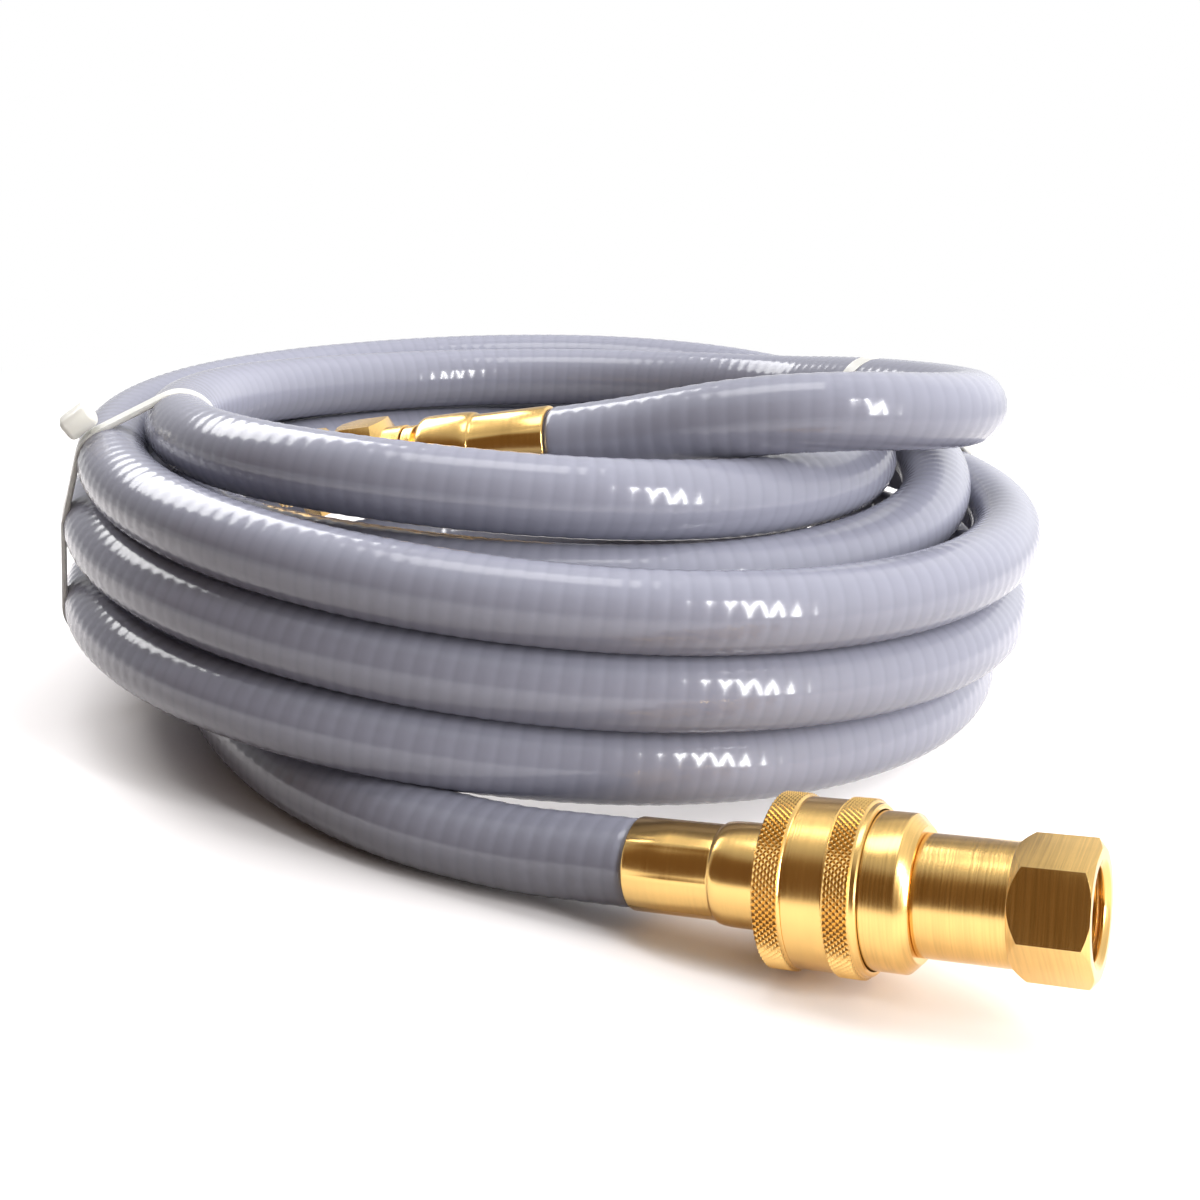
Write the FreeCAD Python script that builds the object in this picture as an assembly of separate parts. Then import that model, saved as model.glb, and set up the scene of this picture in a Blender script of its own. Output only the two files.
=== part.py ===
import FreeCAD
import Part
import math
import os

from FreeCAD import Placement, Rotation, Vector

# A flexible gas hose, wound into a coil of nearly six turns that two cable ties hold. One end is crimped
# on the plug of a quick coupling, whose socket carries a sleeve, a valve and a female pipe thread. The
# other end is crimped on a flare stem with its nut and an adapter. All sizes are in millimetres.
# Z points up from the surface that the hose lies on, X to the right and Y away from the viewer.

# Hose
HOSE_DIAMETER = 16.0
HOSE_BORE = 9.5
LINER_WALL = 1.2

# Coil: where its axis stands, and the angles round it, in degrees from the left by way of the back, of
# its two ties and of its end in the last turn. It starts in the first turn at the left tie
COIL_X = 0.9
COIL_Y = 71.9
LEFT_TIE_PLACE = -14.0
RIGHT_TIE_PLACE = 166.0
COIL_END = 142.0
SECTION_STEP = 12.0
SECTION_SIDES = 16

# Each turn's distance from the coil's axis and height, a sixth of a turn apart, from the left and on past
# the back and the right to the left front, after the place that leads in to the first
TURN_PLACES = 6
LEAD_IN = (80, 10.2)
TURNS = [
    [(85, 9.9), (90, 8.8), (94, 9.85), (97.5, 10.4), (100.5, 15.8), (104, 24.5)],
    [(108.5, 25.6), (103, 24.5), (102.5, 24.5), (104.5, 25), (105, 32), (102.3, 40)],
    [(108, 44.2), (107.5, 40.1), (107.5, 40.1), (106, 43), (106, 48), (102, 55.5)],
    [(103, 59), (103.5, 57), (104.5, 56.5), (91, 52), (86.5, 49), (85, 51)],
    [(85.5, 45.5), (85, 41), (78, 39.5), (71, 56.5), (78, 63), (86, 69)],
    [(87.5, 64), (85, 57), (85.5, 57.5), (83, 68), (84, 76)],
]

# Route of the hose from the coupling to the coil, and from the coil to the flare stem, with the place
# where the second passes the right tie
INLET_ROUTE = [(-12.9, -113.5, 8.1), (-35.8, -100.5, 8.0), (-57.5, -78.2, 8.1), (-72.4, -51.3, 8.6)]
OUTLET_ROUTE = [
    (74.6, 34.6, 64.3),
    (81.8, 12, 68.1),
    (90, -12, 71.5),
    (90.5, -38, 75),
    (76, -58, 78.5),
    (54, -67, 80.5),
    (33, -64.5, 78.5),
]
OUTLET_AT_TIE = (81.8, 67.0)
INLET_STRAIGHT = 11.0
OUTLET_STRAIGHT = 13.0
# Share of the shorter run beside a corner of the route that its arc takes
ARC_SHARE = 0.45

# Mouths of the two ferrules and the way that the fittings point: turned in plan, tilted up, and rolled
INLET_MOUTH = (11.2, -126.3)
INLET_TURNED = -28.6
INLET_TILT = 7.5
INLET_ROLL = 3.0
OUTLET_MOUTH = (-2.4, -51.8, 69.4)
OUTLET_TURNED = 162.0
OUTLET_TILT = -11.0
OUTLET_ROLL = 0.0

# Clearances: round a running fit, between flat faces, and between layers of the hose's wall
RUNNING_GAP = 0.08
FACE_GAP = 0.3
LAYER_GAP = 0.02
# How far a shape that cuts runs past the face where it goes in
CUT_PAST = 1.0

# Crimped ferrule, the same at both ends
FERRULE_LENGTH = 28.6
FERRULE_WALL = 1.0
CRIMP_LENGTH = 16.2
CRIMP_DIAMETER = 16.7
BULGE_DIAMETER = 18.3
BULGE_RAMP = 0.9
BULGE_ROUNDING = 1.4
MOUTH_ROUNDING = 0.6
FERRULE_END_WALL = 1.6
HOSE_END_GAP = 1.2

# Barbed insert that goes into the hose, the same at both ends
INSERT_START = 2.0
INSERT_DIAMETER = 9.2
INSERT_BORE = 6.8
BARB_DIAMETER = 10.2
BARB_COUNT = 5
BARB_PITCH = 3.8
BARB_FOOT = 0.4
LOCK_FLANGE_DIAMETER = 13.2
LOCK_FLANGE_THICKNESS = 1.0
LOCK_NECK_DIAMETER = 11.8

# Quick coupling: plug
PLUG_DIAMETER = 14.0
PLUG_BORE = 8.0
PLUG_LENGTH = 17.2
PLUG_CHAMFER = 0.8

# Quick coupling: socket and its locking balls
SOCKET_TO_FERRULE = 0.6
NECK_DIAMETER = 21.5
NECK_LENGTH = 14.2
SHOULDER_GAP = 0.25
SHOULDER_LENGTH = 6.6
SHOULDER_CONE = 1.9
SPIGOT_LIP = 1.35
BALL_DIAMETER = 4.76
BALL_COUNT = 6
BALL_FROM_FRONT = 4.9
BALL_GAP = 0.07
SEAL_SECTION = 1.9
SEAL_FROM_BALLS = 7.2
SEAL_GAP = 0.02
SEAL_SIDE_GAP = 0.2
STOP_RING_FROM_FRONT = 1.0
STOP_RING_THICKNESS = 1.2
STOP_RING_HEIGHT = 1.35
STOP_RING_DEPTH = 0.7
GASKET_THICKNESS = 0.6
GASKET_WALL = 2.1

# Quick coupling: sleeve
SLEEVE_DIAMETER = 30.0
SLEEVE_OVERHANG = 2.6
SLEEVE_SKIRT_GAP = 0.35
SLEEVE_REAR_WALL = 1.5
SLEEVE_LAND = 4.4
SLEEVE_LENGTH = 17.6
SLEEVE_BAND_RECESS = 0.5
KNURL_FRONT = 4.8
KNURL_REAR = 4.3
KNURL_BAND = 7.4
KNURL_CHAMFER = 0.4
SLEEVE_SPRING_WIRE = 0.7
SLEEVE_SPRING_TURNS = 3.0

# Quick coupling: pipe end with the valve
BARREL_DIAMETER = 20.5
BARREL_LENGTH = 15.2
BARREL_CONE = 2.0
INLET_HEX = 20.64
INLET_HEX_LENGTH = 10.9
HEX_CHAMFER = 1.4
HEX_CHAMFER_LENGTH = 1.1
VALVE_THROAT = 10.8
VALVE_THROAT_LENGTH = 3.2
VALVE_CHAMBER = 14.4
POPPET_DIAMETER = 13.2
POPPET_OPENING = 2.0
POPPET_HEAD = 1.6
POPPET_SEAT_STEP = 0.4
POPPET_STEM = 3.0
POPPET_STEM_LENGTH = 10.0
POPPET_WING = 1.8
POPPET_WING_ROOT = 0.5
POPPET_SEAL_SECTION = 1.0
POPPET_SEAL_INSET = 0.1
VALVE_SPRING_WIRE = 0.7
VALVE_SPRING_DIAMETER = 8.4
VALVE_SPRING_TURNS = 4.0
VALVE_SPRING_LENGTH = 7.2
GUIDE_THICKNESS = 2.0
GUIDE_HOLE = 3.6
GUIDE_HOLE_COUNT = 4
GUIDE_HOLE_CIRCLE = 9.6

# Straight runs in each turn of a spring
SPRING_RUNS = 16

# Pipe threads, drawn as rings: pitch and the flat left at each crest and root
PIPE_PITCH = 1.411
CREST_FLAT = 0.3
ROOT_FLAT = 0.12
INLET_THREAD_BORE = 15.2
INLET_THREAD_TURNS = 7
INLET_COUNTERSINK = 17.5
OUTLET_THREAD_DIAMETER = 13.7
OUTLET_THREAD_TURNS = 5
OUTLET_THREAD_TIP = 12.2
OUTLET_THREAD_TIP_LENGTH = 0.375

# Flare stem, nut and adapter
STEM_GROOVE = 1.2
STEM_GROOVE_DIAMETER = 12.8
STEM_RING_DIAMETER = 15.3
STEM_RING_LENGTH = 2.4
STEM_TUBE_DIAMETER = 12.4
STEM_TUBE_LENGTH = 6.8
STEM_FLANGE_DIAMETER = 14.8
STEM_FLANGE_LENGTH = 2.4
STEM_BORE = 8.0
NUT_NECK_DIAMETER = 15.9
NUT_NECK_LENGTH = 4.3
NUT_HEX = 19.05
NUT_CONE = 1.4
NUT_HEX_LENGTH = 10.4
NUT_CHAMFER_LENGTH = 2.2
NUT_THREAD_BORE = 16.0
FLARE_PITCH = 1.411
FLARE_CREST_FLAT = 0.28
FLARE_THREAD_DEPTH = 0.45
FLARE_THREAD_LEAD = 0.8
ADAPTER_THREAD_DIAMETER = 15.8
ADAPTER_THREAD_LENGTH = 9.6
ADAPTER_NOSE_DIAMETER = 12.6
ADAPTER_NOSE_TIP = 8.8
ADAPTER_NOSE_LENGTH = 0.9
ADAPTER_HEX = 17.46
ADAPTER_HEX_LENGTH = 6.0
ADAPTER_ROLL = 30.0
ADAPTER_BORE = 7.6
FLARE_SEAT_GAP = 0.3

# Cable ties
TIE_CLEARANCE = 0.6
TIE_THICKNESS = 1.2
TIE_WIDTH = 4.8
TIE_HEAD_LENGTH = 7.4
TIE_HEAD_WIDTH = 7.2
TIE_HEAD_HEIGHT = 5.2
TIE_HEAD_ROUNDING = 1.0
LEFT_TIE_HEAD = 55.0
RIGHT_TIE_HEAD = 180.0

# Values worked out from the sizes above
hose_radius = HOSE_DIAMETER / 2
ferrule_end = FERRULE_LENGTH
socket_front = ferrule_end + SOCKET_TO_FERRULE
ball_place = socket_front + BALL_FROM_FRONT
neck_radius = NECK_DIAMETER / 2
land_radius = neck_radius + RUNNING_GAP
stop_ring_radius = neck_radius + STOP_RING_HEIGHT
skirt_radius = stop_ring_radius + SLEEVE_SKIRT_GAP
rear_bore_radius = SLEEVE_DIAMETER / 2 - SLEEVE_REAR_WALL
shoulder_radius = rear_bore_radius - SHOULDER_GAP
spigot_radius = shoulder_radius - SHOULDER_CONE - SPIGOT_LIP
ball_radius = BALL_DIAMETER / 2
ball_circle = land_radius - SEAL_GAP - ball_radius
shoulder_front = socket_front + NECK_LENGTH
shoulder_rear = shoulder_front + SHOULDER_LENGTH
barrel_front = shoulder_rear + SHOULDER_CONE
plug_tip = ferrule_end + PLUG_LENGTH
spigot_front = plug_tip + GASKET_THICKNESS + 2 * LAYER_GAP
sleeve_front = socket_front - SLEEVE_OVERHANG
stop_ring_front = socket_front + STOP_RING_FROM_FRONT
land_front = stop_ring_front + STOP_RING_THICKNESS + FACE_GAP
land_rear = land_front + SLEEVE_LAND
barrel_rear = barrel_front + BARREL_LENGTH
inlet_end = barrel_rear + BARREL_CONE + INLET_HEX_LENGTH
seat_front = spigot_front + VALVE_THROAT_LENGTH
seat_rear = seat_front + (VALVE_CHAMBER - VALVE_THROAT) / 2
poppet_front = plug_tip + FACE_GAP
head_front = seat_front + POPPET_OPENING
head_slope_end = head_front + (POPPET_DIAMETER - VALVE_THROAT) / 2
head_rear = head_slope_end + POPPET_HEAD
guide_front = head_rear + VALVE_SPRING_LENGTH + 2 * LAYER_GAP
stem_ring_front = ferrule_end + STEM_GROOVE
stem_ring_rear = stem_ring_front + STEM_RING_LENGTH
flange_front = stem_ring_rear + STEM_TUBE_LENGTH
flange_end = flange_front + STEM_FLANGE_LENGTH
lock_neck_start = ferrule_end - FERRULE_END_WALL - LAYER_GAP
lock_flange_start = lock_neck_start + LAYER_GAP - FACE_GAP - LOCK_FLANGE_THICKNESS
hose_end = lock_flange_start - HOSE_END_GAP
poppet_face = VALVE_THROAT / 2 - POPPET_SEAT_STEP
poppet_seal_place = (head_front + head_slope_end) / 2
poppet_seal_circle = (poppet_face + POPPET_DIAMETER / 2) / 2 - POPPET_SEAL_INSET
nut_front = stem_ring_rear + FACE_GAP
nut_shoulder = flange_front - FACE_GAP
hex_front = nut_front + NUT_NECK_LENGTH
nut_end = hex_front + NUT_HEX_LENGTH
nose_tip = flange_end - (ADAPTER_NOSE_DIAMETER - ADAPTER_NOSE_TIP) / 2 + FLARE_SEAT_GAP
thread_front = flange_end + ADAPTER_NOSE_LENGTH
adapter_hex_front = thread_front + ADAPTER_THREAD_LENGTH
adapter_hex_rear = adapter_hex_front + ADAPTER_HEX_LENGTH
outlet_thread_end = adapter_hex_rear + CREST_FLAT + OUTLET_THREAD_TURNS * PIPE_PITCH
adapter_end = outlet_thread_end + OUTLET_THREAD_TIP_LENGTH


def direction(turned, tilt):
    """Unit vector turned in plan from X and tilted up, both in degrees."""
    flat = math.cos(math.radians(tilt))
    turned = math.radians(turned)
    return Vector(math.cos(turned) * flat, math.sin(turned) * flat, math.sin(math.radians(tilt)))


inlet_way = direction(INLET_TURNED, INLET_TILT)
outlet_way = direction(OUTLET_TURNED, OUTLET_TILT)
# The sleeve's front edge rests on the floor
inlet_height = SLEEVE_DIAMETER / 2 * math.cos(math.radians(INLET_TILT)) - sleeve_front * inlet_way.z
inlet_mouth = Vector(INLET_MOUTH[0] + COIL_X, INLET_MOUTH[1] + COIL_Y, inlet_height)
outlet_mouth = Vector(OUTLET_MOUTH[0] + COIL_X, OUTLET_MOUTH[1] + COIL_Y, OUTLET_MOUTH[2])


def axis_placement(mouth, way, roll):
    """Placement that takes the local X axis to a fitting's axis, rolled about it."""
    aim = Rotation(way, Vector(0, 0, 0), Vector(0, 0, 1), "XZY")
    return Placement(mouth, aim.multiply(Rotation(Vector(1, 0, 0), roll)))


inlet_place = axis_placement(inlet_mouth, inlet_way, INLET_ROLL)
outlet_place = axis_placement(outlet_mouth, outlet_way, OUTLET_ROLL)


def revolve(profile):
    """Solid of revolution about X of a closed outline of (along, radius) points."""
    points = [Vector(along, radius, 0) for along, radius in profile]
    wire = Part.makePolygon(points + points[:1])
    return Part.Face(wire).revolve(Vector(0, 0, 0), Vector(1, 0, 0), 360)


def ring(start, end, outer, inner):
    """Plain ring along X between two places, of given outer and inner radius."""
    return revolve([(start, inner), (start, outer), (end, outer), (end, inner)])


def torus(place, circle, section):
    return Part.makeTorus(circle, section, Vector(place, 0, 0), Vector(1, 0, 0))


def hex_prism(start, end, across_flats):
    """Hexagonal prism along X with a flat facing Z."""
    corner = across_flats / 2 / math.cos(math.radians(30))
    angles = [math.radians(60 * k) for k in range(7)]
    points = [Vector(start, corner * math.cos(a), corner * math.sin(a)) for a in angles]
    return Part.Face(Part.makePolygon(points)).extrude(Vector(end - start, 0, 0))


def hex_corner(across_flats):
    return across_flats / 2 / math.cos(math.radians(30))


def thread_depth(pitch):
    return (pitch - CREST_FLAT - ROOT_FLAT) / 2 / math.tan(math.radians(30))


def thread_cutter(end, bore, turns, countersink):
    """Rings of a female thread and its countersink, to be cut from a body that ends at this place."""
    crest = bore / 2
    root = crest + thread_depth(PIPE_PITCH)
    flank = (PIPE_PITCH - CREST_FLAT - ROOT_FLAT) / 2
    sink_depth = countersink / 2 - crest
    outline = [(end + CUT_PAST, 0), (end + CUT_PAST, countersink / 2), (end, countersink / 2)]
    outline.append((end - sink_depth, crest))
    for k in range(turns):
        first = end - sink_depth - CREST_FLAT - k * PIPE_PITCH
        outline.append((first, crest))
        outline.append((first - flank, root))
        outline.append((first - flank - ROOT_FLAT, root))
        outline.append((first - 2 * flank - ROOT_FLAT, crest))
    last = end - sink_depth - CREST_FLAT - turns * PIPE_PITCH
    outline.append((last, crest))
    outline.append((last, 0))
    return revolve(outline)


def outlet_thread():
    """Rings of the adapter's male thread, with a chamfered tip."""
    crest = OUTLET_THREAD_DIAMETER / 2
    root = crest - thread_depth(PIPE_PITCH)
    flank = (PIPE_PITCH - CREST_FLAT - ROOT_FLAT) / 2
    outline = [(adapter_hex_rear, 0), (adapter_hex_rear, crest)]
    for k in range(OUTLET_THREAD_TURNS):
        first = adapter_hex_rear + CREST_FLAT + k * PIPE_PITCH
        outline.append((first, crest))
        outline.append((first + flank, root))
        outline.append((first + flank + ROOT_FLAT, root))
        outline.append((first + 2 * flank + ROOT_FLAT, crest))
    outline.append((outlet_thread_end, crest))
    outline.append((adapter_end, OUTLET_THREAD_TIP / 2))
    outline.append((adapter_end, 0))
    return revolve(outline)


def coil_spring(start, length, diameter, wire, turns):
    """Round-wire spring along X in short straight runs, its wire's outside within the given length."""
    rise = length - wire
    runs = int(round(turns * SPRING_RUNS))
    points = []
    for k in range(runs + 1):
        angle = 2 * math.pi * k / SPRING_RUNS
        along = start + wire / 2 + rise * k / runs
        points.append(Vector(along, diameter / 2 * math.cos(angle), diameter / 2 * math.sin(angle)))
    section = Part.Wire(Part.makeCircle(wire / 2, points[0], points[1].sub(points[0])))
    return Part.makePolygon(points).makePipeShell([section], True, True, 1)


def station(places, turned):
    """Distance from the coil's axis and height at an angle, smooth through the places of the turns."""
    at = turned / (360.0 / TURN_PLACES) + 1
    first = min(max(int(at), 1), len(places) - 3)
    share = at - first
    before, here, after, beyond = places[first - 1:first + 3]
    result = []
    for a, b, c, d in zip(before, here, after, beyond):
        bend = (2 * a - 5 * b + 4 * c - d) * share + (3 * b - a - 3 * c + d) * share * share
        result.append(b + share * ((c - a) + bend) / 2)
    return result


def coil_place(distance, turned, height):
    angle = math.radians(turned)
    x = COIL_X - distance * math.cos(angle)
    return Vector(x, COIL_Y + distance * math.sin(angle), height)


turn_places = [LEAD_IN] + [place for turn in TURNS for place in turn]
coil_end = COIL_END + 360.0 * (len(TURNS) - 1)


def outer_point(places, angle):
    """Point of the bundle of hoses that lies furthest out at an angle of its cross-section."""
    x = math.cos(math.radians(angle))
    z = math.sin(math.radians(angle))
    distance, height = max(places, key=lambda place: place[0] * x + place[1] * z)
    return distance + hose_radius * x, height + hose_radius * z


def places_at(turned):
    """Centres of the turns that pass an angle round the coil."""
    found = []
    lap = turned % 360 - 360
    while lap <= coil_end:
        if lap >= LEFT_TIE_PLACE:
            found.append(station(turn_places, lap))
        lap += 360
    return found


def coil_section(turned):
    places = places_at(turned)
    points = []
    for side in range(SECTION_SIDES):
        distance, height = outer_point(places, 360.0 * side / SECTION_SIDES)
        points.append(coil_place(distance, turned, height))
    return points


def hose_coil():
    """The outer shape of the wound turns, as one closed ring."""
    count = int(round(360 / SECTION_STEP))
    rings = [coil_section(LEFT_TIE_PLACE + SECTION_STEP * k) for k in range(count)]
    faces = []
    for k in range(count):
        near = rings[k]
        far = rings[(k + 1) % count]
        for side in range(SECTION_SIDES):
            turn = (side + 1) % SECTION_SIDES
            first = Part.makeLine(near[side], near[turn])
            second = Part.makeLine(far[side], far[turn])
            faces.append(Part.makeRuledSurface(first, second))
    shell = Part.Shell(faces)
    solid = Part.makeSolid(shell)
    if solid.Volume < 0:
        solid.reverse()
    return solid


def hose_tube(points, name):
    """Plain round solid along straight runs that tangent arcs join."""
    edges = []
    start = points[0]
    length = 0.0
    radii = []
    for k in range(1, len(points) - 1):
        corner = points[k]
        back = points[k - 1].sub(corner)
        ahead = points[k + 1].sub(corner)
        turn = math.pi - back.getAngle(ahead)
        reach = ARC_SHARE * min(back.Length, ahead.Length)
        radii.append(reach / math.tan(turn / 2))
        back.normalize()
        ahead.normalize()
        begin = corner.add(back.multiply(reach))
        end = corner.add(ahead.multiply(reach))
        inward = begin.add(end).multiply(0.5).sub(corner)
        sagitta = radii[-1] / math.cos(turn / 2) - radii[-1]
        middle = corner.add(inward.normalize().multiply(sagitta))
        edges.append(Part.LineSegment(start, begin).toShape())
        edges.append(Part.Arc(begin, middle, end).toShape())
        length += start.distanceToPoint(begin) + radii[-1] * turn
        start = end
    edges.append(Part.LineSegment(start, points[-1]).toShape())
    length += start.distanceToPoint(points[-1])
    path = Part.Wire(edges)
    heading = points[1].sub(points[0])
    section = Part.Wire(Part.makeCircle(hose_radius, points[0], heading))
    tube = path.makePipeShell([section], True, True)
    share = tube.Volume / (math.pi * hose_radius ** 2 * length)
    print(name, "length", round(length, 1), "volume share", round(share, 4))
    print("arc radii", [round(radius) for radius in radii])
    return tube


def moved(points):
    return [Vector(x + COIL_X, y + COIL_Y, z) for x, y, z in points]


def hose_inlet_points():
    straight = inlet_mouth.sub(Vector(inlet_way).multiply(INLET_STRAIGHT))
    distance, height = station(turn_places, LEFT_TIE_PLACE)
    return [inlet_mouth, straight] + moved(INLET_ROUTE) + [coil_place(distance, LEFT_TIE_PLACE, height)]


def hose_outlet_points():
    straight = outlet_mouth.sub(Vector(outlet_way).multiply(OUTLET_STRAIGHT))
    distance, height = station(turn_places, coil_end)
    return [coil_place(distance, coil_end, height)] + moved(OUTLET_ROUTE) + [straight, outlet_mouth]


def barbed_insert(gap):
    """Barbed tube inside the hose, from its start to the flange that locks the ferrule."""
    body = INSERT_DIAMETER / 2 + gap
    barb = BARB_DIAMETER / 2 + gap
    outline = [(INSERT_START, 0), (INSERT_START, body)]
    for k in range(BARB_COUNT):
        start = INSERT_START + BARB_PITCH * k
        outline.append((start + BARB_FOOT, body))
        outline.append((start + BARB_PITCH - 2 * BARB_FOOT, barb))
        outline.append((start + BARB_PITCH - BARB_FOOT, body))
    outline.append((lock_flange_start, body))
    outline.append((lock_flange_start, 0))
    return revolve(outline)


def stem_base():
    """Insert, locking flange and neck that the ferrule's end wall grips, up to the ferrule's end."""
    base = barbed_insert(0)
    base = base.fuse(ring(lock_flange_start, lock_neck_start, LOCK_FLANGE_DIAMETER / 2, 0))
    return base.fuse(ring(lock_neck_start, ferrule_end + LAYER_GAP, LOCK_NECK_DIAMETER / 2, 0))


def ferrule():
    crimp = CRIMP_DIAMETER / 2
    bulge = BULGE_DIAMETER / 2
    inner = crimp - FERRULE_WALL
    bulge_inner = bulge - FERRULE_WALL
    wall_start = ferrule_end - FERRULE_END_WALL
    ramp_end = CRIMP_LENGTH + BULGE_RAMP
    shell = revolve([
        (0, inner),
        (0, crimp),
        (CRIMP_LENGTH, crimp),
        (ramp_end, bulge),
        (ferrule_end, bulge),
        (ferrule_end, LOCK_NECK_DIAMETER / 2 + LAYER_GAP),
        (wall_start, LOCK_NECK_DIAMETER / 2 + LAYER_GAP),
        (wall_start, bulge_inner),
        (ramp_end, bulge_inner),
        (CRIMP_LENGTH, inner),
    ])
    rim = [edge for edge in shell.Edges if is_circle(edge, ferrule_end, bulge)]
    shell = shell.makeFillet(BULGE_ROUNDING, rim)
    mouth = [edge for edge in shell.Edges if is_circle(edge, 0, crimp)]
    return shell.makeFillet(MOUTH_ROUNDING, mouth)


def is_circle(edge, along, radius):
    """Tells whether an edge is the circle about X at this place and radius."""
    curve = edge.Curve
    if not isinstance(curve, Part.Circle):
        return False
    return abs(curve.Center.x - along) < 1e-4 and abs(curve.Radius - radius) < 1e-4


def hose_end_layers():
    """Jacket and liner of the hose's end inside a ferrule."""
    outer = CRIMP_DIAMETER / 2 - FERRULE_WALL - LAYER_GAP
    liner_outer = HOSE_BORE / 2 + LINER_WALL
    jacket = ring(0, hose_end, outer, liner_outer + LAYER_GAP)
    liner = ring(0, hose_end, liner_outer, HOSE_BORE / 2).cut(barbed_insert(LAYER_GAP))
    return jacket, liner


def plug_nipple():
    radius = PLUG_DIAMETER / 2
    nose = revolve([
        (ferrule_end + LAYER_GAP, 0),
        (ferrule_end + LAYER_GAP, radius),
        (plug_tip - PLUG_CHAMFER, radius),
        (plug_tip, radius - PLUG_CHAMFER),
        (plug_tip, 0),
    ])
    plug = stem_base().fuse(nose)
    plug = plug.cut(torus(ball_place, ball_circle, ball_radius + BALL_GAP))
    plug = plug.cut(ring(INSERT_START - CUT_PAST, ferrule_end, INSERT_BORE / 2, 0))
    return plug.cut(ring(ferrule_end, plug_tip + CUT_PAST, PLUG_BORE / 2, 0))


def socket_front_body():
    bore = PLUG_DIAMETER / 2 + RUNNING_GAP
    body = revolve([
        (socket_front, bore),
        (socket_front, neck_radius),
        (shoulder_front, neck_radius),
        (shoulder_front, shoulder_radius),
        (shoulder_rear, shoulder_radius),
        (barrel_front, shoulder_radius - SHOULDER_CONE),
        (barrel_front, spigot_radius + LAYER_GAP),
        (plug_tip, spigot_radius + LAYER_GAP),
        (plug_tip, bore),
    ])
    groove = neck_radius - STOP_RING_DEPTH
    stop_ring_rear = stop_ring_front + STOP_RING_THICKNESS
    body = body.cut(ring(stop_ring_front - LAYER_GAP, stop_ring_rear + LAYER_GAP, neck_radius + CUT_PAST, groove))
    seal_place = ball_place + SEAL_FROM_BALLS
    seal_outer = PLUG_DIAMETER / 2 + SEAL_SECTION + 2 * SEAL_GAP
    half = SEAL_SECTION / 2 + SEAL_SIDE_GAP
    body = body.cut(ring(seal_place - half, seal_place + half, seal_outer, bore - CUT_PAST))
    for k in range(BALL_COUNT):
        hole = Part.makeCylinder(ball_radius + BALL_GAP, NECK_DIAMETER, Vector(ball_place, 0, 0), Vector(0, 0, 1))
        hole.rotate(Vector(0, 0, 0), Vector(1, 0, 0), 360.0 * k / BALL_COUNT)
        body = body.cut(hole)
    return body


def locking_balls():
    balls = []
    for k in range(BALL_COUNT):
        angle = math.radians(360.0 * k / BALL_COUNT)
        centre = Vector(ball_place, -ball_circle * math.sin(angle), ball_circle * math.cos(angle))
        balls.append(Part.makeSphere(ball_radius, centre))
    return Part.Compound(balls)


def plug_seal():
    section = SEAL_SECTION / 2
    return torus(ball_place + SEAL_FROM_BALLS, PLUG_DIAMETER / 2 + SEAL_GAP + section, section)


def sleeve_stop_ring():
    inner = neck_radius - STOP_RING_DEPTH + LAYER_GAP
    return ring(stop_ring_front, stop_ring_front + STOP_RING_THICKNESS, stop_ring_radius, inner)


def body_joint_seal():
    outer = spigot_radius - LAYER_GAP
    start = plug_tip + LAYER_GAP
    return ring(start, start + GASKET_THICKNESS, outer, outer - GASKET_WALL)


def lock_sleeve():
    outer = SLEEVE_DIAMETER / 2
    band = outer - SLEEVE_BAND_RECESS
    rear = sleeve_front + SLEEVE_LENGTH
    knurl_end = sleeve_front + KNURL_FRONT
    second = knurl_end + KNURL_BAND
    second_end = second + KNURL_REAR
    return revolve([
        (sleeve_front, skirt_radius),
        (sleeve_front, outer - KNURL_CHAMFER),
        (sleeve_front + KNURL_CHAMFER, outer),
        (knurl_end - KNURL_CHAMFER, outer),
        (knurl_end, outer - KNURL_CHAMFER),
        (knurl_end, band),
        (second, band),
        (second, outer - KNURL_CHAMFER),
        (second + KNURL_CHAMFER, outer),
        (second_end - KNURL_CHAMFER, outer),
        (second_end, outer - KNURL_CHAMFER),
        (second_end, band),
        (rear - KNURL_CHAMFER, band),
        (rear, band - KNURL_CHAMFER),
        (rear, rear_bore_radius),
        (land_rear, rear_bore_radius),
        (land_rear, land_radius),
        (land_front, land_radius),
        (land_front, skirt_radius),
    ])


def sleeve_spring():
    middle = neck_radius + rear_bore_radius
    start = land_rear + LAYER_GAP
    return coil_spring(start, shoulder_front - LAYER_GAP - start, middle, SLEEVE_SPRING_WIRE, SLEEVE_SPRING_TURNS)


def socket_pipe_end():
    barrel = BARREL_DIAMETER / 2
    corner = hex_corner(INLET_HEX)
    spigot = ring(spigot_front, barrel_front, spigot_radius, 0)
    tube = ring(barrel_front, barrel_rear, barrel, 0)
    head = revolve([
        (barrel_rear, 0),
        (barrel_rear, barrel),
        (barrel_rear + BARREL_CONE, corner),
        (inlet_end - HEX_CHAMFER_LENGTH, corner),
        (inlet_end, corner - HEX_CHAMFER),
        (inlet_end, 0),
    ])
    head = head.common(hex_prism(barrel_rear, inlet_end, INLET_HEX))
    body = spigot.fuse(tube).fuse(head)
    inside = revolve([
        (spigot_front - CUT_PAST, 0),
        (spigot_front - CUT_PAST, VALVE_THROAT / 2),
        (seat_front, VALVE_THROAT / 2),
        (seat_rear, VALVE_CHAMBER / 2),
        (inlet_end, VALVE_CHAMBER / 2),
        (inlet_end, 0),
    ])
    body = body.cut(inside)
    return body.cut(thread_cutter(inlet_end, INLET_THREAD_BORE, INLET_THREAD_TURNS, INLET_COUNTERSINK))


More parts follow.
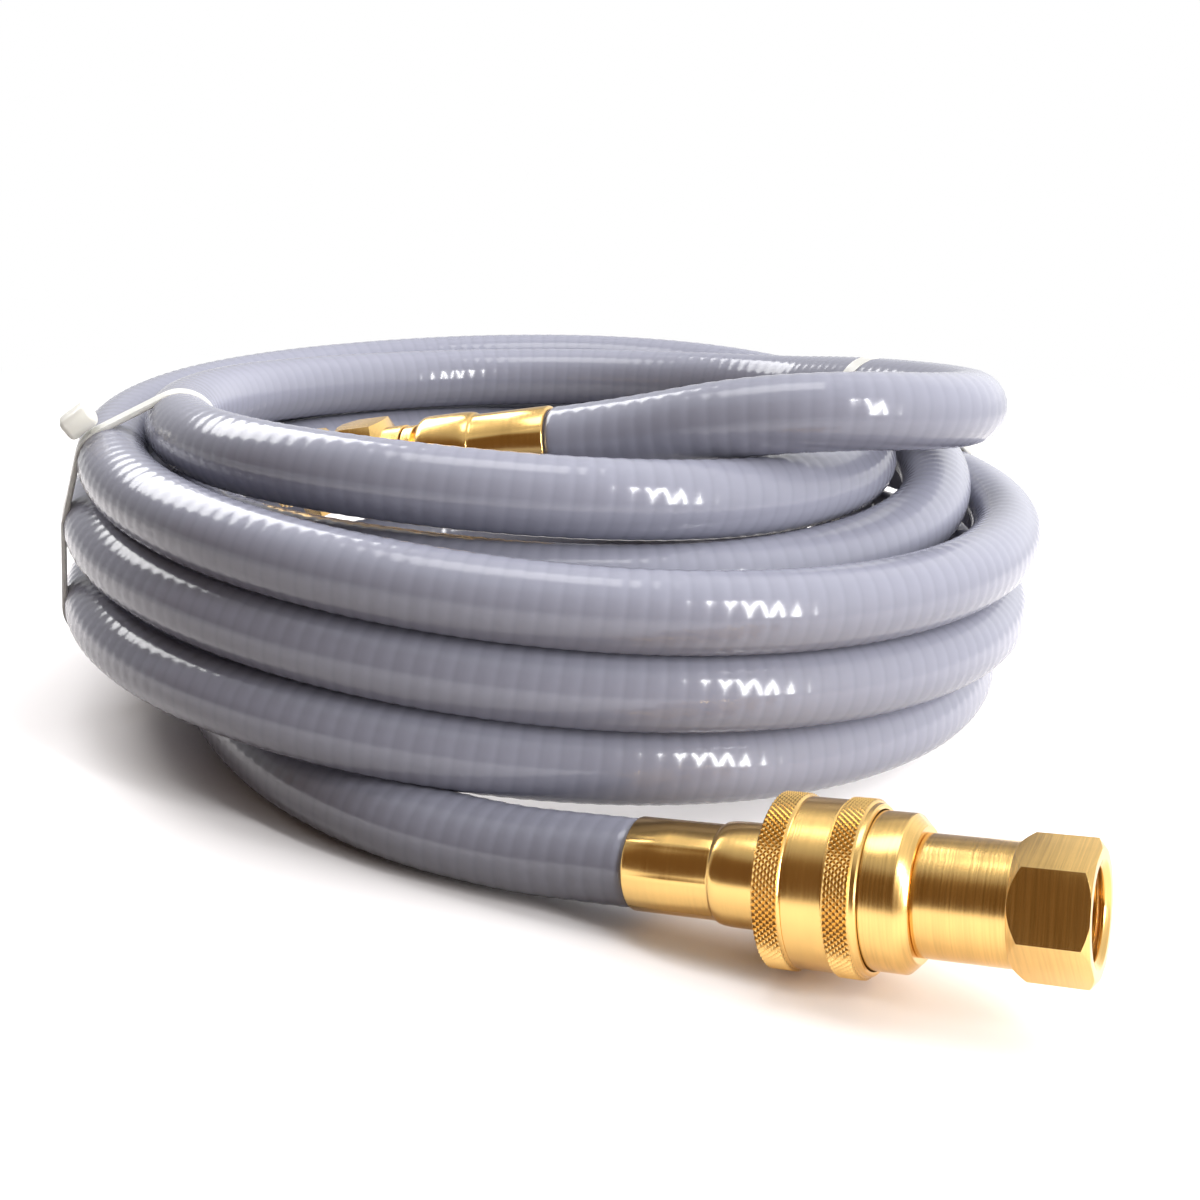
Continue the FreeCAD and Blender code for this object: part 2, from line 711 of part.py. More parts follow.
def valve_poppet():
    """Mushroom valve: a cross-shaped pusher that the plug's nose holds open, a head and a guide stem."""
    pusher = VALVE_THROAT / 2 - RUNNING_GAP
    head = POPPET_DIAMETER / 2
    wing_end = head_front + POPPET_WING_ROOT
    wings = []
    for turned in (0, 90):
        wing = Part.makeBox(wing_end - poppet_front, 2 * pusher, POPPET_WING)
        wing.translate(Vector(poppet_front, -pusher, -POPPET_WING / 2))
        wing.rotate(Vector(0, 0, 0), Vector(1, 0, 0), turned)
        wings.append(wing)
    limit = ring(poppet_front, wing_end, pusher, 0)
    pusher_solid = wings[0].fuse(wings[1]).common(limit)
    body = revolve([
        (head_front, 0),
        (head_front, poppet_face),
        (head_slope_end, head),
        (head_rear, head),
        (head_rear, POPPET_STEM / 2),
        (head_rear + POPPET_STEM_LENGTH, POPPET_STEM / 2),
        (head_rear + POPPET_STEM_LENGTH, 0),
    ])
    body = body.fuse(pusher_solid)
    return body.cut(torus(poppet_seal_place, poppet_seal_circle, POPPET_SEAL_SECTION / 2 + LAYER_GAP))


def valve_poppet_seal():
    return torus(poppet_seal_place, poppet_seal_circle, POPPET_SEAL_SECTION / 2)


def valve_spring():
    return coil_spring(head_rear + LAYER_GAP, VALVE_SPRING_LENGTH, VALVE_SPRING_DIAMETER, VALVE_SPRING_WIRE,
                       VALVE_SPRING_TURNS)


def valve_guide():
    disc = ring(guide_front, guide_front + GUIDE_THICKNESS, VALVE_CHAMBER / 2 - LAYER_GAP,
                POPPET_STEM / 2 + RUNNING_GAP)
    for k in range(GUIDE_HOLE_COUNT):
        angle = math.radians(360.0 * k / GUIDE_HOLE_COUNT)
        circle = GUIDE_HOLE_CIRCLE / 2
        centre = Vector(guide_front - CUT_PAST, circle * math.cos(angle), circle * math.sin(angle))
        reach = GUIDE_THICKNESS + 2 * CUT_PAST
        disc = disc.cut(Part.makeCylinder(GUIDE_HOLE / 2, reach, centre, Vector(1, 0, 0)))
    return disc


def outlet_stem():
    seat_wide = ADAPTER_NOSE_DIAMETER / 2
    seat_deep = seat_wide - STEM_BORE / 2
    front = revolve([
        (ferrule_end + LAYER_GAP, 0),
        (ferrule_end + LAYER_GAP, STEM_GROOVE_DIAMETER / 2),
        (stem_ring_front, STEM_GROOVE_DIAMETER / 2),
        (stem_ring_front, STEM_RING_DIAMETER / 2),
        (stem_ring_rear, STEM_RING_DIAMETER / 2),
        (stem_ring_rear, STEM_TUBE_DIAMETER / 2),
        (flange_front, STEM_TUBE_DIAMETER / 2),
        (flange_front, STEM_FLANGE_DIAMETER / 2),
        (flange_end, STEM_FLANGE_DIAMETER / 2),
        (flange_end, seat_wide),
        (flange_end - seat_deep, STEM_BORE / 2),
        (flange_end - seat_deep, 0),
    ])
    stem = stem_base().fuse(front)
    stem = stem.cut(ring(INSERT_START - CUT_PAST, ferrule_end, INSERT_BORE / 2, 0))
    return stem.cut(ring(ferrule_end, flange_end, STEM_BORE / 2, 0))


def flare_grooves(start, end, surface, depth):
    """Rings of triangular section on a flare thread, cut to a depth from its surface."""
    count = int((end - start) / FLARE_PITCH)
    half = (FLARE_PITCH - FLARE_CREST_FLAT) / 2
    open_side = surface - math.copysign(RUNNING_GAP, depth)
    cutters = []
    for k in range(count):
        middle = start + FLARE_PITCH * (k + 0.5)
        cutters.append(revolve([
            (middle - half, open_side),
            (middle, surface + depth),
            (middle + half, open_side),
        ]))
    return Part.Compound(cutters)


def flare_nut():
    corner = hex_corner(NUT_HEX)
    neck = ring(nut_front, hex_front, NUT_NECK_DIAMETER / 2, 0)
    head = revolve([
        (hex_front, 0),
        (hex_front, NUT_NECK_DIAMETER / 2),
        (hex_front + NUT_CONE, corner),
        (nut_end - NUT_CHAMFER_LENGTH, corner),
        (nut_end, corner - HEX_CHAMFER),
        (nut_end, 0),
    ])
    head = head.common(hex_prism(hex_front, nut_end, NUT_HEX))
    inside = revolve([
        (nut_front - CUT_PAST, 0),
        (nut_front - CUT_PAST, STEM_TUBE_DIAMETER / 2 + RUNNING_GAP),
        (nut_shoulder, STEM_TUBE_DIAMETER / 2 + RUNNING_GAP),
        (nut_shoulder, NUT_THREAD_BORE / 2),
        (nut_end + CUT_PAST, NUT_THREAD_BORE / 2),
        (nut_end + CUT_PAST, 0),
    ])
    nut = neck.fuse(head).cut(inside)
    return nut.cut(flare_grooves(flange_end, nut_end, NUT_THREAD_BORE / 2, FLARE_THREAD_DEPTH))


def flare_adapter():
    corner = hex_corner(ADAPTER_HEX)
    thread = ADAPTER_THREAD_DIAMETER / 2
    thread_full = thread_front + FLARE_THREAD_LEAD
    body = revolve([
        (nose_tip, 0),
        (nose_tip, ADAPTER_NOSE_TIP / 2),
        (nose_tip + (ADAPTER_NOSE_DIAMETER - ADAPTER_NOSE_TIP) / 2, ADAPTER_NOSE_DIAMETER / 2),
        (thread_front, ADAPTER_NOSE_DIAMETER / 2),
        (thread_full, thread),
        (adapter_hex_front, thread),
        (adapter_hex_front, 0),
    ])
    head = revolve([
        (adapter_hex_front, 0),
        (adapter_hex_front, corner - HEX_CHAMFER),
        (adapter_hex_front + HEX_CHAMFER_LENGTH, corner),
        (adapter_hex_rear - HEX_CHAMFER_LENGTH, corner),
        (adapter_hex_rear, corner - HEX_CHAMFER),
        (adapter_hex_rear, 0),
    ])
    prism = hex_prism(adapter_hex_front, adapter_hex_rear, ADAPTER_HEX)
    prism.rotate(Vector(0, 0, 0), Vector(1, 0, 0), ADAPTER_ROLL)
    body = body.fuse(head.common(prism))
    body = body.cut(flare_grooves(thread_full, adapter_hex_front, thread, -FLARE_THREAD_DEPTH))
    body = body.fuse(outlet_thread())
    return body.cut(ring(nose_tip - CUT_PAST, adapter_end + CUT_PAST, ADAPTER_BORE / 2, 0))


def hull(places):
    """Corners of the tightest loop round some places of a cross-section, in order."""
    ordered = sorted(tuple(place) for place in places)

    def half(points):
        chain = []
        for point in points:
            while len(chain) > 1 and turn_area(chain[-2], chain[-1], point) <= 0:
                chain.pop()
            chain.append(point)
        return chain[:-1]

    return half(ordered) + half(ordered[::-1])


def turn_area(a, b, c):
    return (b[0] - a[0]) * (c[1] - a[1]) - (b[1] - a[1]) * (c[0] - a[0])


def cable_tie(turned, head_angle, places):
    """Strap pulled round the turns at one place, with its head at an angle of their cross-section."""
    corners = [Vector(x, z, 0) for x, z in hull(places)]
    core = Part.makePolygon(corners + corners[:1])
    inner = hose_radius + TIE_CLEARANCE
    outer = inner + TIE_THICKNESS
    band = Part.Face(core.makeOffset2D(outer)).cut(Part.Face(core.makeOffset2D(inner)))
    strap = band.extrude(Vector(0, 0, TIE_WIDTH))
    strap.translate(Vector(0, 0, -TIE_WIDTH / 2))
    x = math.cos(math.radians(head_angle))
    z = math.sin(math.radians(head_angle))
    distance, height = max(places, key=lambda place: place[0] * x + place[1] * z)
    head = Part.makeBox(TIE_HEAD_HEIGHT, TIE_HEAD_LENGTH, TIE_HEAD_WIDTH)
    head.translate(Vector(0, -TIE_HEAD_LENGTH / 2, -TIE_HEAD_WIDTH / 2))
    head = head.makeFillet(TIE_HEAD_ROUNDING, head.Edges)
    head.rotate(Vector(0, 0, 0), Vector(0, 0, 1), head_angle)
    seat = inner + TIE_THICKNESS / 2
    head.translate(Vector(distance + seat * x, height + seat * z, 0))
    bundle = Part.Face(core.makeOffset2D(inner)).extrude(Vector(0, 0, TIE_HEAD_WIDTH))
    bundle.translate(Vector(0, 0, -TIE_HEAD_WIDTH / 2))
    tie = strap.fuse(head.cut(bundle))
    angle = math.radians(turned)
    outward = Vector(-math.cos(angle), math.sin(angle), 0)
    aim = Rotation(outward, Vector(0, 0, 1), Vector(0, 0, 0), "XYZ")
    tie.Placement = Placement(Vector(COIL_X, COIL_Y, 0), aim)
    return tie


def build():
    jacket, liner = hose_end_layers()
    right_places = places_at(RIGHT_TIE_PLACE) + [OUTLET_AT_TIE]
    shell = ferrule()
    parts = {
        "hose_coil": hose_coil(),
        "hose_tail_inlet": hose_tube(hose_inlet_points(), "inlet tail"),
        "hose_tail_outlet": hose_tube(hose_outlet_points(), "outlet tail"),
        "left_cable_tie": cable_tie(LEFT_TIE_PLACE, LEFT_TIE_HEAD, places_at(LEFT_TIE_PLACE)),
        "right_cable_tie": cable_tie(RIGHT_TIE_PLACE, RIGHT_TIE_HEAD, right_places),
    }
    inlet = {
        "inlet_hose_end_jacket": jacket,
        "inlet_hose_end_liner": liner,
        "inlet_ferrule": shell,
        "plug_nipple": plug_nipple(),
        "socket_front_body": socket_front_body(),
        "socket_pipe_end": socket_pipe_end(),
        "body_joint_seal": body_joint_seal(),
        "plug_seal": plug_seal(),
        "lock_sleeve": lock_sleeve(),
        "sleeve_spring": sleeve_spring(),
        "sleeve_stop_ring": sleeve_stop_ring(),
        "locking_balls": locking_balls(),
        "valve_poppet": valve_poppet(),
        "valve_poppet_seal": valve_poppet_seal(),
        "valve_spring": valve_spring(),
        "valve_guide": valve_guide(),
    }
    outlet = {
        "outlet_hose_end_jacket": jacket,
        "outlet_hose_end_liner": liner,
        "outlet_ferrule": shell,
        "outlet_stem": outlet_stem(),
        "flare_nut": flare_nut(),
        "flare_adapter": flare_adapter(),
    }
    for name, shape in inlet.items():
        parts[name] = shape.transformed(inlet_place.toMatrix())
    for name, shape in outlet.items():
        parts[name] = shape.transformed(outlet_place.toMatrix())
    return parts


os.makedirs("parts", exist_ok=True)
for node, part in build().items():
    box = part.BoundBox
    print(node, "solids", len(part.Solids), "valid", part.isValid(), "volume", round(part.Volume, 1),
          "box", [round(v, 2) for v in (box.XMin, box.YMin, box.ZMin, box.XMax, box.YMax, box.ZMax)])
    part.exportStep("parts/" + node + ".step")
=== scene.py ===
import math

import bmesh
import bpy
import numpy as np
from bpy.props import FloatProperty, FloatVectorProperty, IntProperty, PointerProperty
from bpy.types import NodeSocket, Operator, Panel, PropertyGroup
from mathutils import Matrix, Vector


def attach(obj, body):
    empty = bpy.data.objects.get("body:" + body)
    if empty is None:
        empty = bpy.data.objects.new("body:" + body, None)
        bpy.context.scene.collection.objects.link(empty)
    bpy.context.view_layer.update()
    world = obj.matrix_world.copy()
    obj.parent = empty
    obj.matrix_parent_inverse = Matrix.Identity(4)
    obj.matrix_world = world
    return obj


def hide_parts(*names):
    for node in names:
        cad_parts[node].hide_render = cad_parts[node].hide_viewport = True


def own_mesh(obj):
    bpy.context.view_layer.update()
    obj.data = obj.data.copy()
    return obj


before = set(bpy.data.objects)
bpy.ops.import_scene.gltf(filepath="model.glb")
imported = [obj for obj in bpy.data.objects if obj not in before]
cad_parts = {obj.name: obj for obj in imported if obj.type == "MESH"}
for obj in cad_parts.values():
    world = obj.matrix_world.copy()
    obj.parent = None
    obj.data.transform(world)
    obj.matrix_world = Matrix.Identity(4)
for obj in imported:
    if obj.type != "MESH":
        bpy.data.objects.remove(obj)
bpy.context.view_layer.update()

bl_info = {
    "name": "Gas Hose with Quick Coupling",
    "version": (1, 0, 0),
    "blender": (4, 5, 0),
    "location": "View3D > Sidebar > Gas Hose",
    "description": "Coiled ribbed gas hose with a quick coupling, a flare fitting and two cable ties",
    "category": "Add Mesh",
}

MM = 0.001

# Coil: its axis in plan, and each turn's distance from it and height, a sixth of a turn apart, in
# millimetres, from the left by way of the back and the right to the left front
COIL_X = 0.9
COIL_Y = 71.9
LEFT_TIE_PLACE = -14.0
RIGHT_TIE_PLACE = 166.0
COIL_STEP = 20
COIL_FIRST = -20
COIL_LAST = 1940
LEAD_IN = (80, 10.2)
TURNS = [
    [(85, 9.9), (90, 8.8), (94, 9.85), (97.5, 10.4), (100.5, 15.8), (104, 24.5)],
    [(108.5, 25.6), (103, 24.5), (102.5, 24.5), (104.5, 25), (105, 32), (102.3, 40)],
    [(108, 44.2), (107.5, 40.1), (107.5, 40.1), (106, 43), (106, 48), (102, 55.5)],
    [(103, 59), (103.5, 57), (104.5, 56.5), (91, 52), (86.5, 49), (85, 51)],
    [(85.5, 45.5), (85, 41), (78, 39.5), (71, 56.5), (78, 63), (86, 69)],
    [(87.5, 64), (85, 57), (85.5, 57.5), (83, 68), (84, 76)],
]
INLET_ROUTE = [(-12.9, -113.5, 8.1), (-35.8, -100.5, 8.0), (-57.5, -78.2, 8.1), (-72.4, -51.3, 8.6)]
OUTLET_ROUTE = [
    (74.6, 34.6, 64.3),
    (81.8, 12, 68.1),
    (90, -12, 71.5),
    (90.5, -38, 75),
    (76, -58, 78.5),
    (54, -67, 80.5),
    (33, -64.5, 78.5),
]
# Straight stretches of hose behind the ferrules
INLET_STRAIGHT = 11.0
OUTLET_STRAIGHT = 13.0
# A spline of order 3 cuts inside its control points by this share where they are COIL_STEP apart
SPLINE_CUT = (3 + math.cos(math.radians(COIL_STEP))) / 4

# Where the two ferrules' mouths are, and the way that the fittings point
INLET_MOUTH = Vector((12.1, -54.4, 11.4))
INLET_WAY = Vector((0.8704717, -0.4745966, 0.1305262))
INLET_ROLL = 3.0
OUTLET_MOUTH = Vector((-1.5, 20.1, 69.4))
OUTLET_WAY = Vector((-0.9335829, 0.3033395, -0.190809))
ADAPTER_ROLL = 30.0

# Stations along the fittings, from the mouth of the ferrule
CRIMP_END = 16.2
FERRULE_END = 28.6
SLEEVE_FRONT = 26.6
SLEEVE_REAR = 44.2
SHOULDER_FRONT = 43.4
SHOULDER_REAR = 50.0
BARREL_FRONT = 51.9
BARREL_REAR = 67.1
PIPE_END = 80.0
NUT_FRONT = 32.5
NUT_HEX_FRONT = 36.8
NUT_END = 47.2
FLANGE_FRONT = 39.0
FLANGE_END = 41.4
ADAPTER_HEX_FRONT = 51.9
ADAPTER_HEX_REAR = 57.9
ADAPTER_THREAD_END = 65.25
ADAPTER_END = 65.63

# Lock sleeve: its bores, and its two knurled rings, each as its first row's place and its rows' pitch
SLEEVE_FRONT_BORE = 12.45
SLEEVE_NECK_BORE = 10.83
SLEEVE_REAR_BORE = 13.5
KNURL_RADIUS = 14.72
KNURL_ROWS = 8
KNURL_RINGS = ((SLEEVE_FRONT + 0.35, 0.5875), (38.95, 0.57))

# Socket: radii of its neck, its shoulder and its bore
NECK_RADIUS = 10.75
SHOULDER_RADIUS = 13.25
SOCKET_BORE = 7.08

# Hexagons: sizes across the flats, and how far their ends are turned off along and inwards
PIPE_FLATS = 20.64
NUT_FLATS = 19.05
ADAPTER_FLATS = 17.46
CHAMFER_LENGTH = 1.1
CHAMFER_DEPTH = 1.4

# Threads, 18 to the inch: flats on the crests and in the roots, and radii of crests and roots
THREAD_PITCH = 1.411
CREST_FLAT = 0.3
ROOT_FLAT = 0.12
FEMALE_PIPE_THREAD = (7.6, 8.457)
NUT_THREAD = (8.0, 8.45)
FLARE_THREAD = (7.9, 7.45)
MALE_PIPE_THREAD = (6.85, 5.993)
PIPE_THREAD_DEPTH = 0.85
PIPE_THREAD_TURNS = 7

# Hose, in metres: rows of faces to a rib, how its ends draw in and its ribs fade at the ferrules, and how
# far ahead and behind its heading is read
RIB_ROWS = 4
END_ROUND = 0.0014
END_SQUEEZE = 0.0007
RIB_FADE = 0.003
HEADING_REACH = 0.0015
PATH_POINTS = 1200

# Cable ties, in metres: the strap's inside from the hose's middle, the head's middle from there and its size
STRAP_REACH = 0.0083
STRAP_POINTS = 120
HEAD_REACH = 0.0117
HEAD_SIZE = (0.0052, 0.0074, 0.0072)
HEAD_EDGE = 0.0013
LEFT_HEAD_ANGLE = 55.0
RIGHT_HEAD_ANGLE = 180.0
# Places nearer the coil's axis than this belong to the other side of the coil
COIL_HOLLOW = 0.05

# Camera, fitted to the photograph, in metres: its place, the way it looks and the way its right points
CAMERA_PLACE = (-0.0119, -0.3212, 0.1526)
CAMERA_FORWARD = Vector((0.0566, 0.9442, -0.3244))
CAMERA_RIGHT = Vector((0.9984, -0.0533, 0.0191))
FOCAL_PIXELS = 1680
FRAME_PIXELS = 1200
WHITE = (1, 1, 1, 1)


def linear(digits):
    """Linear RGBA of an sRGB colour that is given as hex digits."""
    parts = [int(digits[k:k + 2], 16) / 255 for k in (1, 3, 5)]
    return (*(c / 12.92 if c <= 0.04045 else ((c + 0.055) / 1.055) ** 2.4 for c in parts), 1.0)


class HoseSizes(PropertyGroup):
    diameter: FloatProperty(name="Diameter", description="Outside of the ribs", default=0.016, unit="LENGTH")
    length: FloatProperty(name="Length", description="From ferrule to ferrule", default=3.62, unit="LENGTH")
    rib_pitch: FloatProperty(name="Rib pitch", description="From rib to rib", default=0.00365, unit="LENGTH")
    rib_height: FloatProperty(name="Rib height", description="Rib over valley", default=0.0001, unit="LENGTH")
    sides: IntProperty(name="Sides", description="Columns of faces round the hose", default=24, min=8)


class FittingSizes(PropertyGroup):
    sides: IntProperty(name="Sides", description="Columns of faces on turned pieces", default=96, min=24)
    knurl_count: IntProperty(name="Knurl count", description="Diamonds round the sleeve", default=84, min=24)
    knurl_depth: FloatProperty(name="Knurl depth", description="Tip over groove", default=0.0004,
                               unit="LENGTH")
    edge_break: FloatProperty(name="Edge break", description="Width of broken edges", default=0.00016,
                              unit="LENGTH")


class TieSizes(PropertyGroup):
    width: FloatProperty(name="Strap width", description="Across the strap", default=0.0048, unit="LENGTH")
    thickness: FloatProperty(name="Strap thickness", description="Through the strap", default=0.0012,
                             unit="LENGTH")


class FinishColours(PropertyGroup):
    hose: FloatVectorProperty(name="Hose jacket", description="Grey vinyl", subtype="COLOR", size=4,
                              default=linear("#8A8B99"))
    brass: FloatVectorProperty(name="Brass", description="Bright turned brass", subtype="COLOR", size=4,
                               default=linear("#F4C97D"))
    nylon: FloatVectorProperty(name="Nylon", description="Natural nylon", subtype="COLOR", size=4,
                               default=linear("#F2F0E8"))


def darker(colour, share):
    """A linear colour at a share of its light."""
    return (*(c * share for c in colour[:3]), 1.0)


def add_node(tree, kind, inputs=None, **settings):
    """Adds a node with its settings, its input values and its links. Sockets that share a name are given by
    their number: in a Mix 0 is the share and 6 and 7 are the two colours, and in a Map Range 0 is the value,
    1 and 2 are what it runs between and 3 and 4 what it becomes."""
    node = tree.nodes.new(kind)
    for key, value in settings.items():
        setattr(node, key, value)
    for key, value in (inputs or {}).items():
        if isinstance(value, NodeSocket):
            tree.links.new(value, node.inputs[key])
        else:
            node.inputs[key].default_value = value
    return node


def new_material(name):
    """Material with an empty node tree."""
    material = bpy.data.materials.new(name)
    material.use_nodes = True
    material.node_tree.nodes.clear()
    return material, material.node_tree


def finish_surface(tree, inputs):
    """Ends a material in a Principled shader with these inputs."""
    shader = add_node(tree, "ShaderNodeBsdfPrincipled", inputs)
    add_node(tree, "ShaderNodeOutputMaterial", {"Surface": shader.outputs[0]})


def fitting_matrix(mouth, way, roll):
    """Matrix from a fitting's own frame, X along it and Z up, to its place, in millimetres."""
    along = way.normalized()
    up = (Vector((0, 0, 1)) - along * along.z).normalized()
    side = up.cross(along)
    turned = Matrix((along, side, up)).transposed().to_4x4()
    return Matrix.Translation(mouth) @ turned @ Matrix.Rotation(math.radians(roll), 4, "X")


INLET_PLACE = fitting_matrix(INLET_MOUTH, INLET_WAY, INLET_ROLL)
OUTLET_PLACE = fitting_matrix(OUTLET_MOUTH, OUTLET_WAY, 0.0)


def placed(matrix):
    """The same placement in metres."""
    result = matrix.copy()
    result.translation = matrix.translation * MM
    return result


def vinyl():
    """Extruded soft vinyl over a ribbed core: dense grey with a wet gloss that breaks over the ribs, and
    painted shade that darkens the valleys between the ribs.
    """
    material, tree = new_material("extruded_vinyl")
    uv = add_node(tree, "ShaderNodeUVMap", uv_map="hose_uv").outputs[0]
    place = add_node(tree, "ShaderNodeTexCoord").outputs["Object"]
    # Slow unevenness of the extruded wall, about 6 mm, and fine flow lines along it
    uneven = add_node(tree, "ShaderNodeTexNoise", {"Vector": place, "Scale": 160.0, "Detail": 2.0})
    stretched = add_node(tree, "ShaderNodeMapping", {"Vector": uv, "Scale": (60.0, 45.0, 1.0)})
    flow = add_node(tree, "ShaderNodeTexNoise", {"Vector": stretched.outputs[0], "Scale": 1.0, "Detail": 3.0})
    ribs = add_node(tree, "ShaderNodeAttribute", attribute_name="rib").outputs["Fac"]
    base = tuple(bpy.context.scene.finish_colours.hose)
    # Painted shade: the valleys between the ribs are painted darker than the crests, following the rib height
    # that the hose stores on its points.
    crest = add_node(tree, "ShaderNodeMapRange", {0: ribs, 2: 0.45}).outputs[0]
    valley = add_node(tree, "ShaderNodeMix", {0: crest, 6: darker(base, 0.93), 7: base}, data_type="RGBA")
    tint = add_node(tree, "ShaderNodeMapRange", {0: uneven.outputs[0], 3: 0.97, 4: 1.03})
    colour = add_node(tree, "ShaderNodeVectorMath", {0: valley.outputs[2], "Scale": tint.outputs[0]},
                      operation="SCALE")
    rough = add_node(tree, "ShaderNodeMapRange", {0: flow.outputs[0], 3: 0.12, 4: 0.22})
    bump = add_node(tree, "ShaderNodeBump", {
        "Height": uneven.outputs[0],
        "Strength": 0.06,
        "Distance": 0.0006,
    })
    finish_surface(tree, {
        "Base Color": colour.outputs[0],
        "Roughness": rough.outputs[0],
        "IOR": 1.5,
        "Normal": bump.outputs[0],
    })
    return material


def turned_brass(name, place, lines, shine, marks, dark=0.95):
    """Brass from the lathe: golden metal whose fine turning lines run round the fitting's axis. The darkest
    of them keep the given share of the colour."""
    material, tree = new_material(name)
    where = add_node(tree, "ShaderNodeTexCoord").outputs["Object"]
    own = add_node(tree, "ShaderNodeMapping", {
        "Vector": where,
        "Location": placed(place).translation,
        "Rotation": place.to_euler("XYZ"),
    }, vector_type="TEXTURE")
    # Turning lines: noise drawn out round the axis, its lines the given number to a millimetre
    drawn = add_node(tree, "ShaderNodeMapping", {"Vector": own.outputs[0], "Scale": (lines / MM, 60.0, 60.0)})
    turning = add_node(tree, "ShaderNodeTexNoise", {"Vector": drawn.outputs[0], "Scale": 1.0, "Detail": 2.0})
    # Faint tarnish in spots of about 4.5 mm
    stain = add_node(tree, "ShaderNodeTexNoise", {"Vector": own.outputs[0], "Scale": 220.0, "Detail": 4.0})
    base = tuple(bpy.context.scene.finish_colours.brass)
    stained = add_node(tree, "ShaderNodeMix", {0: stain.outputs[0], 6: darker(base, 0.86), 7: base},
                       data_type="RGBA")
    line = add_node(tree, "ShaderNodeMapRange", {0: turning.outputs[0], 1: 0.35, 2: 0.6, 3: dark, 4: 1.0})
    colour = add_node(tree, "ShaderNodeMix", {0: 1.0, 6: stained.outputs[2], 7: line.outputs[0]},
                      data_type="RGBA", blend_type="MULTIPLY")
    rough = add_node(tree, "ShaderNodeMapRange", {0: turning.outputs[0], 3: shine, 4: shine + 0.14})
    bump = add_node(tree, "ShaderNodeBump", {
        "Height": turning.outputs[0],
        "Strength": marks,
        "Distance": 0.00012,
    })
    finish_surface(tree, {
        "Base Color": colour.outputs[2],
        "Metallic": 1.0,
        "Roughness": rough.outputs[0],
        "Normal": bump.outputs[0],
    })
    return material


def moulded_nylon():
    """Natural moulded nylon: milky white, light glows through its thin edges."""
    material, tree = new_material("moulded_nylon")
    where = add_node(tree, "ShaderNodeTexCoord").outputs["Object"]
    # Cloudiness of the moulding, about 3.3 mm
    cloud = add_node(tree, "ShaderNodeTexNoise", {"Vector": where, "Scale": 300.0, "Detail": 3.0})
    base = tuple(bpy.context.scene.finish_colours.nylon)
    colour = add_node(tree, "ShaderNodeMix", {0: cloud.outputs[0], 6: darker(base, 0.93), 7: base},
                      data_type="RGBA")
    rough = add_node(tree, "ShaderNodeMapRange", {0: cloud.outputs[0], 3: 0.28, 4: 0.42})
    bump = add_node(tree, "ShaderNodeBump", {"Height": cloud.outputs[0], "Strength": 0.1, "Distance": 0.0002})
    finish_surface(tree, {
        "Base Color": colour.outputs[2],
        "Roughness": rough.outputs[0],
        "IOR": 1.53,
        "Subsurface Weight": 0.35,
        "Subsurface Radius": (0.003, 0.003, 0.0028),
        "Subsurface Scale": 1.0,
        "Transmission Weight": 0.25,
        "Normal": bump.outputs[0],
    })
    return material


def plain_finish(name, colour, metallic, low, high, scale):
    """Small hidden parts: one colour with a fine grain in its gloss, its scale the grains to a metre."""
    material, tree = new_material(name)
    where = add_node(tree, "ShaderNodeTexCoord").outputs["Object"]
    grain = add_node(tree, "ShaderNodeTexNoise", {"Vector": where, "Scale": scale, "Detail": 3.0})
    base = linear(colour)
    mixed = add_node(tree, "ShaderNodeMix", {0: grain.outputs[0], 6: darker(base, 0.88), 7: base},
                     data_type="RGBA")
    rough = add_node(tree, "ShaderNodeMapRange", {0: grain.outputs[0], 3: low, 4: high})
    bump = add_node(tree, "ShaderNodeBump", {"Height": grain.outputs[0], "Strength": 0.1, "Distance": 0.0001})
    finish_surface(tree, {
        "Base Color": mixed.outputs[2],
        "Metallic": metallic,
        "Roughness": rough.outputs[0],
        "Normal": bump.outputs[0],
    })
    return material


def keep_piece(piece, body, slot, material, *nodes):
    """Gives a finished piece its material, puts it on its body and hides the CAD nodes that it stands for.
    Its slot is not used.
    """
    piece.data.materials.clear()
    piece.data.materials.append(material)
    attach(piece, body)
    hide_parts(*nodes)


def select_only(piece):
    """Makes a piece the active one and the only one selected."""
    bpy.ops.object.select_all(action="DESELECT")
    piece.select_set(True)
    bpy.context.view_layer.objects.active = piece


def apply_modifier(piece, kind, **settings):
    """Adds a modifier with its settings and applies it."""
    select_only(piece)
    modifier = piece.modifiers.new("shape", kind)
    for key, value in settings.items():
        setattr(modifier, key, value)
    bpy.ops.object.modifier_apply(modifier=modifier.name)


def smooth(piece, angle=32):
    """Shades a piece smooth, apart from edges that turn by more than an angle in degrees."""
    select_only(piece)
    bpy.ops.object.shade_smooth_by_angle(angle=math.radians(angle))


def select_where(piece, test):
    """In edit mode, selects the vertices whose place passes a test."""
    bpy.ops.mesh.select_mode(type="VERT")
    mesh = bmesh.from_edit_mesh(piece.data)
    for vertex in mesh.verts:
        vertex.select_set(bool(test(vertex.co)))
    mesh.select_flush_mode()
    bmesh.update_edit_mesh(piece.data)


